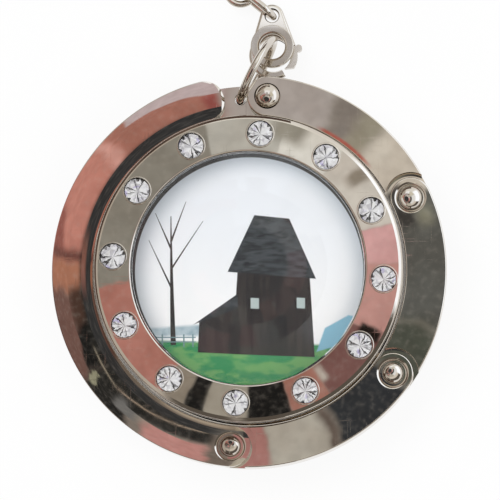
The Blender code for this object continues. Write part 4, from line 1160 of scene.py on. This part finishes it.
# %% [markdown]
# A low dark screen stands at the left. Round wires and rivet heads mirror it in their left
# flanks, which sets them off from the pale floor. A curved screen hides its ends from them,
# so an upright line is traced and spun into an arc.

# %% Stand a dark screen at the left
SCREEN_REACH, SCREEN_START, SCREEN_TURN = 120, 78, 205
SCREEN_LOW, SCREEN_TALL = 3, 86
foot = place(*polar(SCREEN_REACH, SCREEN_START), SCREEN_LOW)
screen = trace("dark_side_screen", foot, [place(0, 0, SCREEN_TALL)])
spin(SCREEN_TURN, 28)
close(screen)
for kind in UNSEEN_BY:
    setattr(screen, "visible_" + kind, False)
# A painted reflection that glows, though it is no lamp: an even, warm, dull brown, with painted
# shade in soft folds.
LIT = {"Emission Strength": 1.0}
cloth, shader = new_material("dark_screen_painted_reflection", "#000000", 1.0, **LIT)
painted_fold_shade = two_tones(cloth, "#4a3a34", "#6e5c52", 30.0, 0.35, 0.65, 3.0, (1, 1, 0.3))
wire_up(painted_fold_shade, shader.inputs["Emission Color"])
dress(screen, cloth)
print("screen faces", len(screen.data.polygons))

# %% [markdown]
# ## Floor
#
# The floor is white paper. Lit by the lamps alone it would come out grey, and more light
# would bleach the object. So camera, mirrors and glass see it glow a little by itself, while
# it keeps the object's shadow. Under the object it doesn't glow, which paints a shadow
# there, so the ring's gaps stay dark.

# %% Lay the floor
def seen_directly(owner):
    """One for the camera's rays and for those from mirrors and glass, else nothing."""
    rays = add(owner, "LightPath").node.outputs
    direct = [rays["Is Camera Ray"], rays["Is Glossy Ray"]]
    direct = [add(owner, "Math", direct, operation="ADD"), rays["Is Transmission Ray"]]
    return add(owner, "Math", direct, operation="ADD", use_clamp=True)


JUST_BELOW = (0, 0, -0.0001)
DARK_TO, GLOWS_FROM = 19.5, 22.2
bpy.ops.mesh.primitive_grid_add(x_subdivisions=8, y_subdivisions=8, size=3.0, location=JUST_BELOW)
floor = close(begin("studio_floor"))
# Uncoated paper: white and quite matt, with a hardly visible cloudiness.
paper, shader = new_material("white_paper", "#f2f2f2", 0.9)
wire_up(two_tones(paper, "#f1f1f1", "#f5f5f5", 8.0, 0.3, 0.7, 3.0), shader.inputs["Base Color"])
space = add(paper, "TexCoord", output="Object")
from_middle = add(paper, "VectorMath", [space], "Value", operation="LENGTH")
# The glow stops in a disc under the object: a painted shadow there.
glow_outside_painted_shadow = [from_middle, DARK_TO * MM, GLOWS_FROM * MM, 0.0, 0.9]
glow_outside_painted_shadow = add(paper, "MapRange", glow_outside_painted_shadow, **SMOOTH_STEP)
share = add(paper, "Math", [seen_directly(paper), glow_outside_painted_shadow], operation="MULTIPLY")
glow = add(paper, "Emission", {"Color": linear("#ffffff"), "Strength": 1.0})
glowing = add(paper, "MixShader", [share, shader.outputs[0], glow])
wire_up(glowing, paper.node_tree.nodes["Material Output"].inputs["Surface"])
dress(floor, paper)
print("floor ready", floor.name)

# %% [markdown]
# ## Light
#
# The world is white to the camera and in reflections, and softer as a light. Two large lamps
# light the picture and the rubber evenly. The metal doesn't mirror them, because a lamp's
# outline in it would look like a window. Glass lets light through to what lies under it, so
# dome and crystals throw no shadow.

# %% Set the world and hang the lamps
WORLD_LIGHT = 0.65
world = bpy.context.scene.world or bpy.data.worlds.new("studio")
bpy.context.scene.world = world
world.use_nodes = True
background = world.node_tree.nodes["Background"]
background.inputs["Color"].default_value = linear("#ffffff")
strength = [seen_directly(world), 1 - WORLD_LIGHT, WORLD_LIGHT]
wire_up(add(world, "Math", strength, operation="MULTIPLY_ADD"), background.inputs["Strength"])


def lamp(name, location, power):
    """A square lamp of half a metre that faces the object, unseen in metal and glass."""
    bpy.ops.object.light_add(type="AREA", location=location)
    made = bpy.context.object
    made.name = name
    made.data.size, made.data.energy = 0.5, power
    made.rotation_euler = (-Vector(location)).to_track_quat("-Z", "Y").to_euler()
    made.visible_glossy = made.visible_transmission = False


lamp("soft_key", (-0.35, 0.25, 0.7), 2.5)
lamp("soft_fill", (0.45, -0.3, 0.6), 1.4)
for piece in crystals + [dome]:
    piece.visible_shadow = False

# %% [markdown]
# ## Camera
#
# The object is seen from nearly straight above. The camera leans eight degrees, mostly
# towards the lower edge, and a long lens at 45 cm keeps the perspective weak. It could track
# an empty, but a matrix of its three directions places it with no constraint left.

# %% Place the camera
AIM = place(0.05, 2.48, 4.6)
TOWARDS = Vector((0.052, -0.13, 0.99)).normalized()
DISTANCE_AWAY, LENS = 0.45, 286
bpy.ops.object.camera_add(location=AIM + DISTANCE_AWAY * TOWARDS)
camera = bpy.context.object
right = Vector((0, 1, 0)).cross(TOWARDS).normalized()
camera.rotation_euler = Matrix((right, TOWARDS.cross(right), TOWARDS)).transposed().to_euler()
camera.data.lens = LENS
camera.data.clip_start, camera.data.clip_end = 0.05, 20
bpy.context.scene.camera = camera
bpy.context.scene.view_settings.view_transform = "Standard"
print("camera at", [round(value, 3) for value in camera.location])
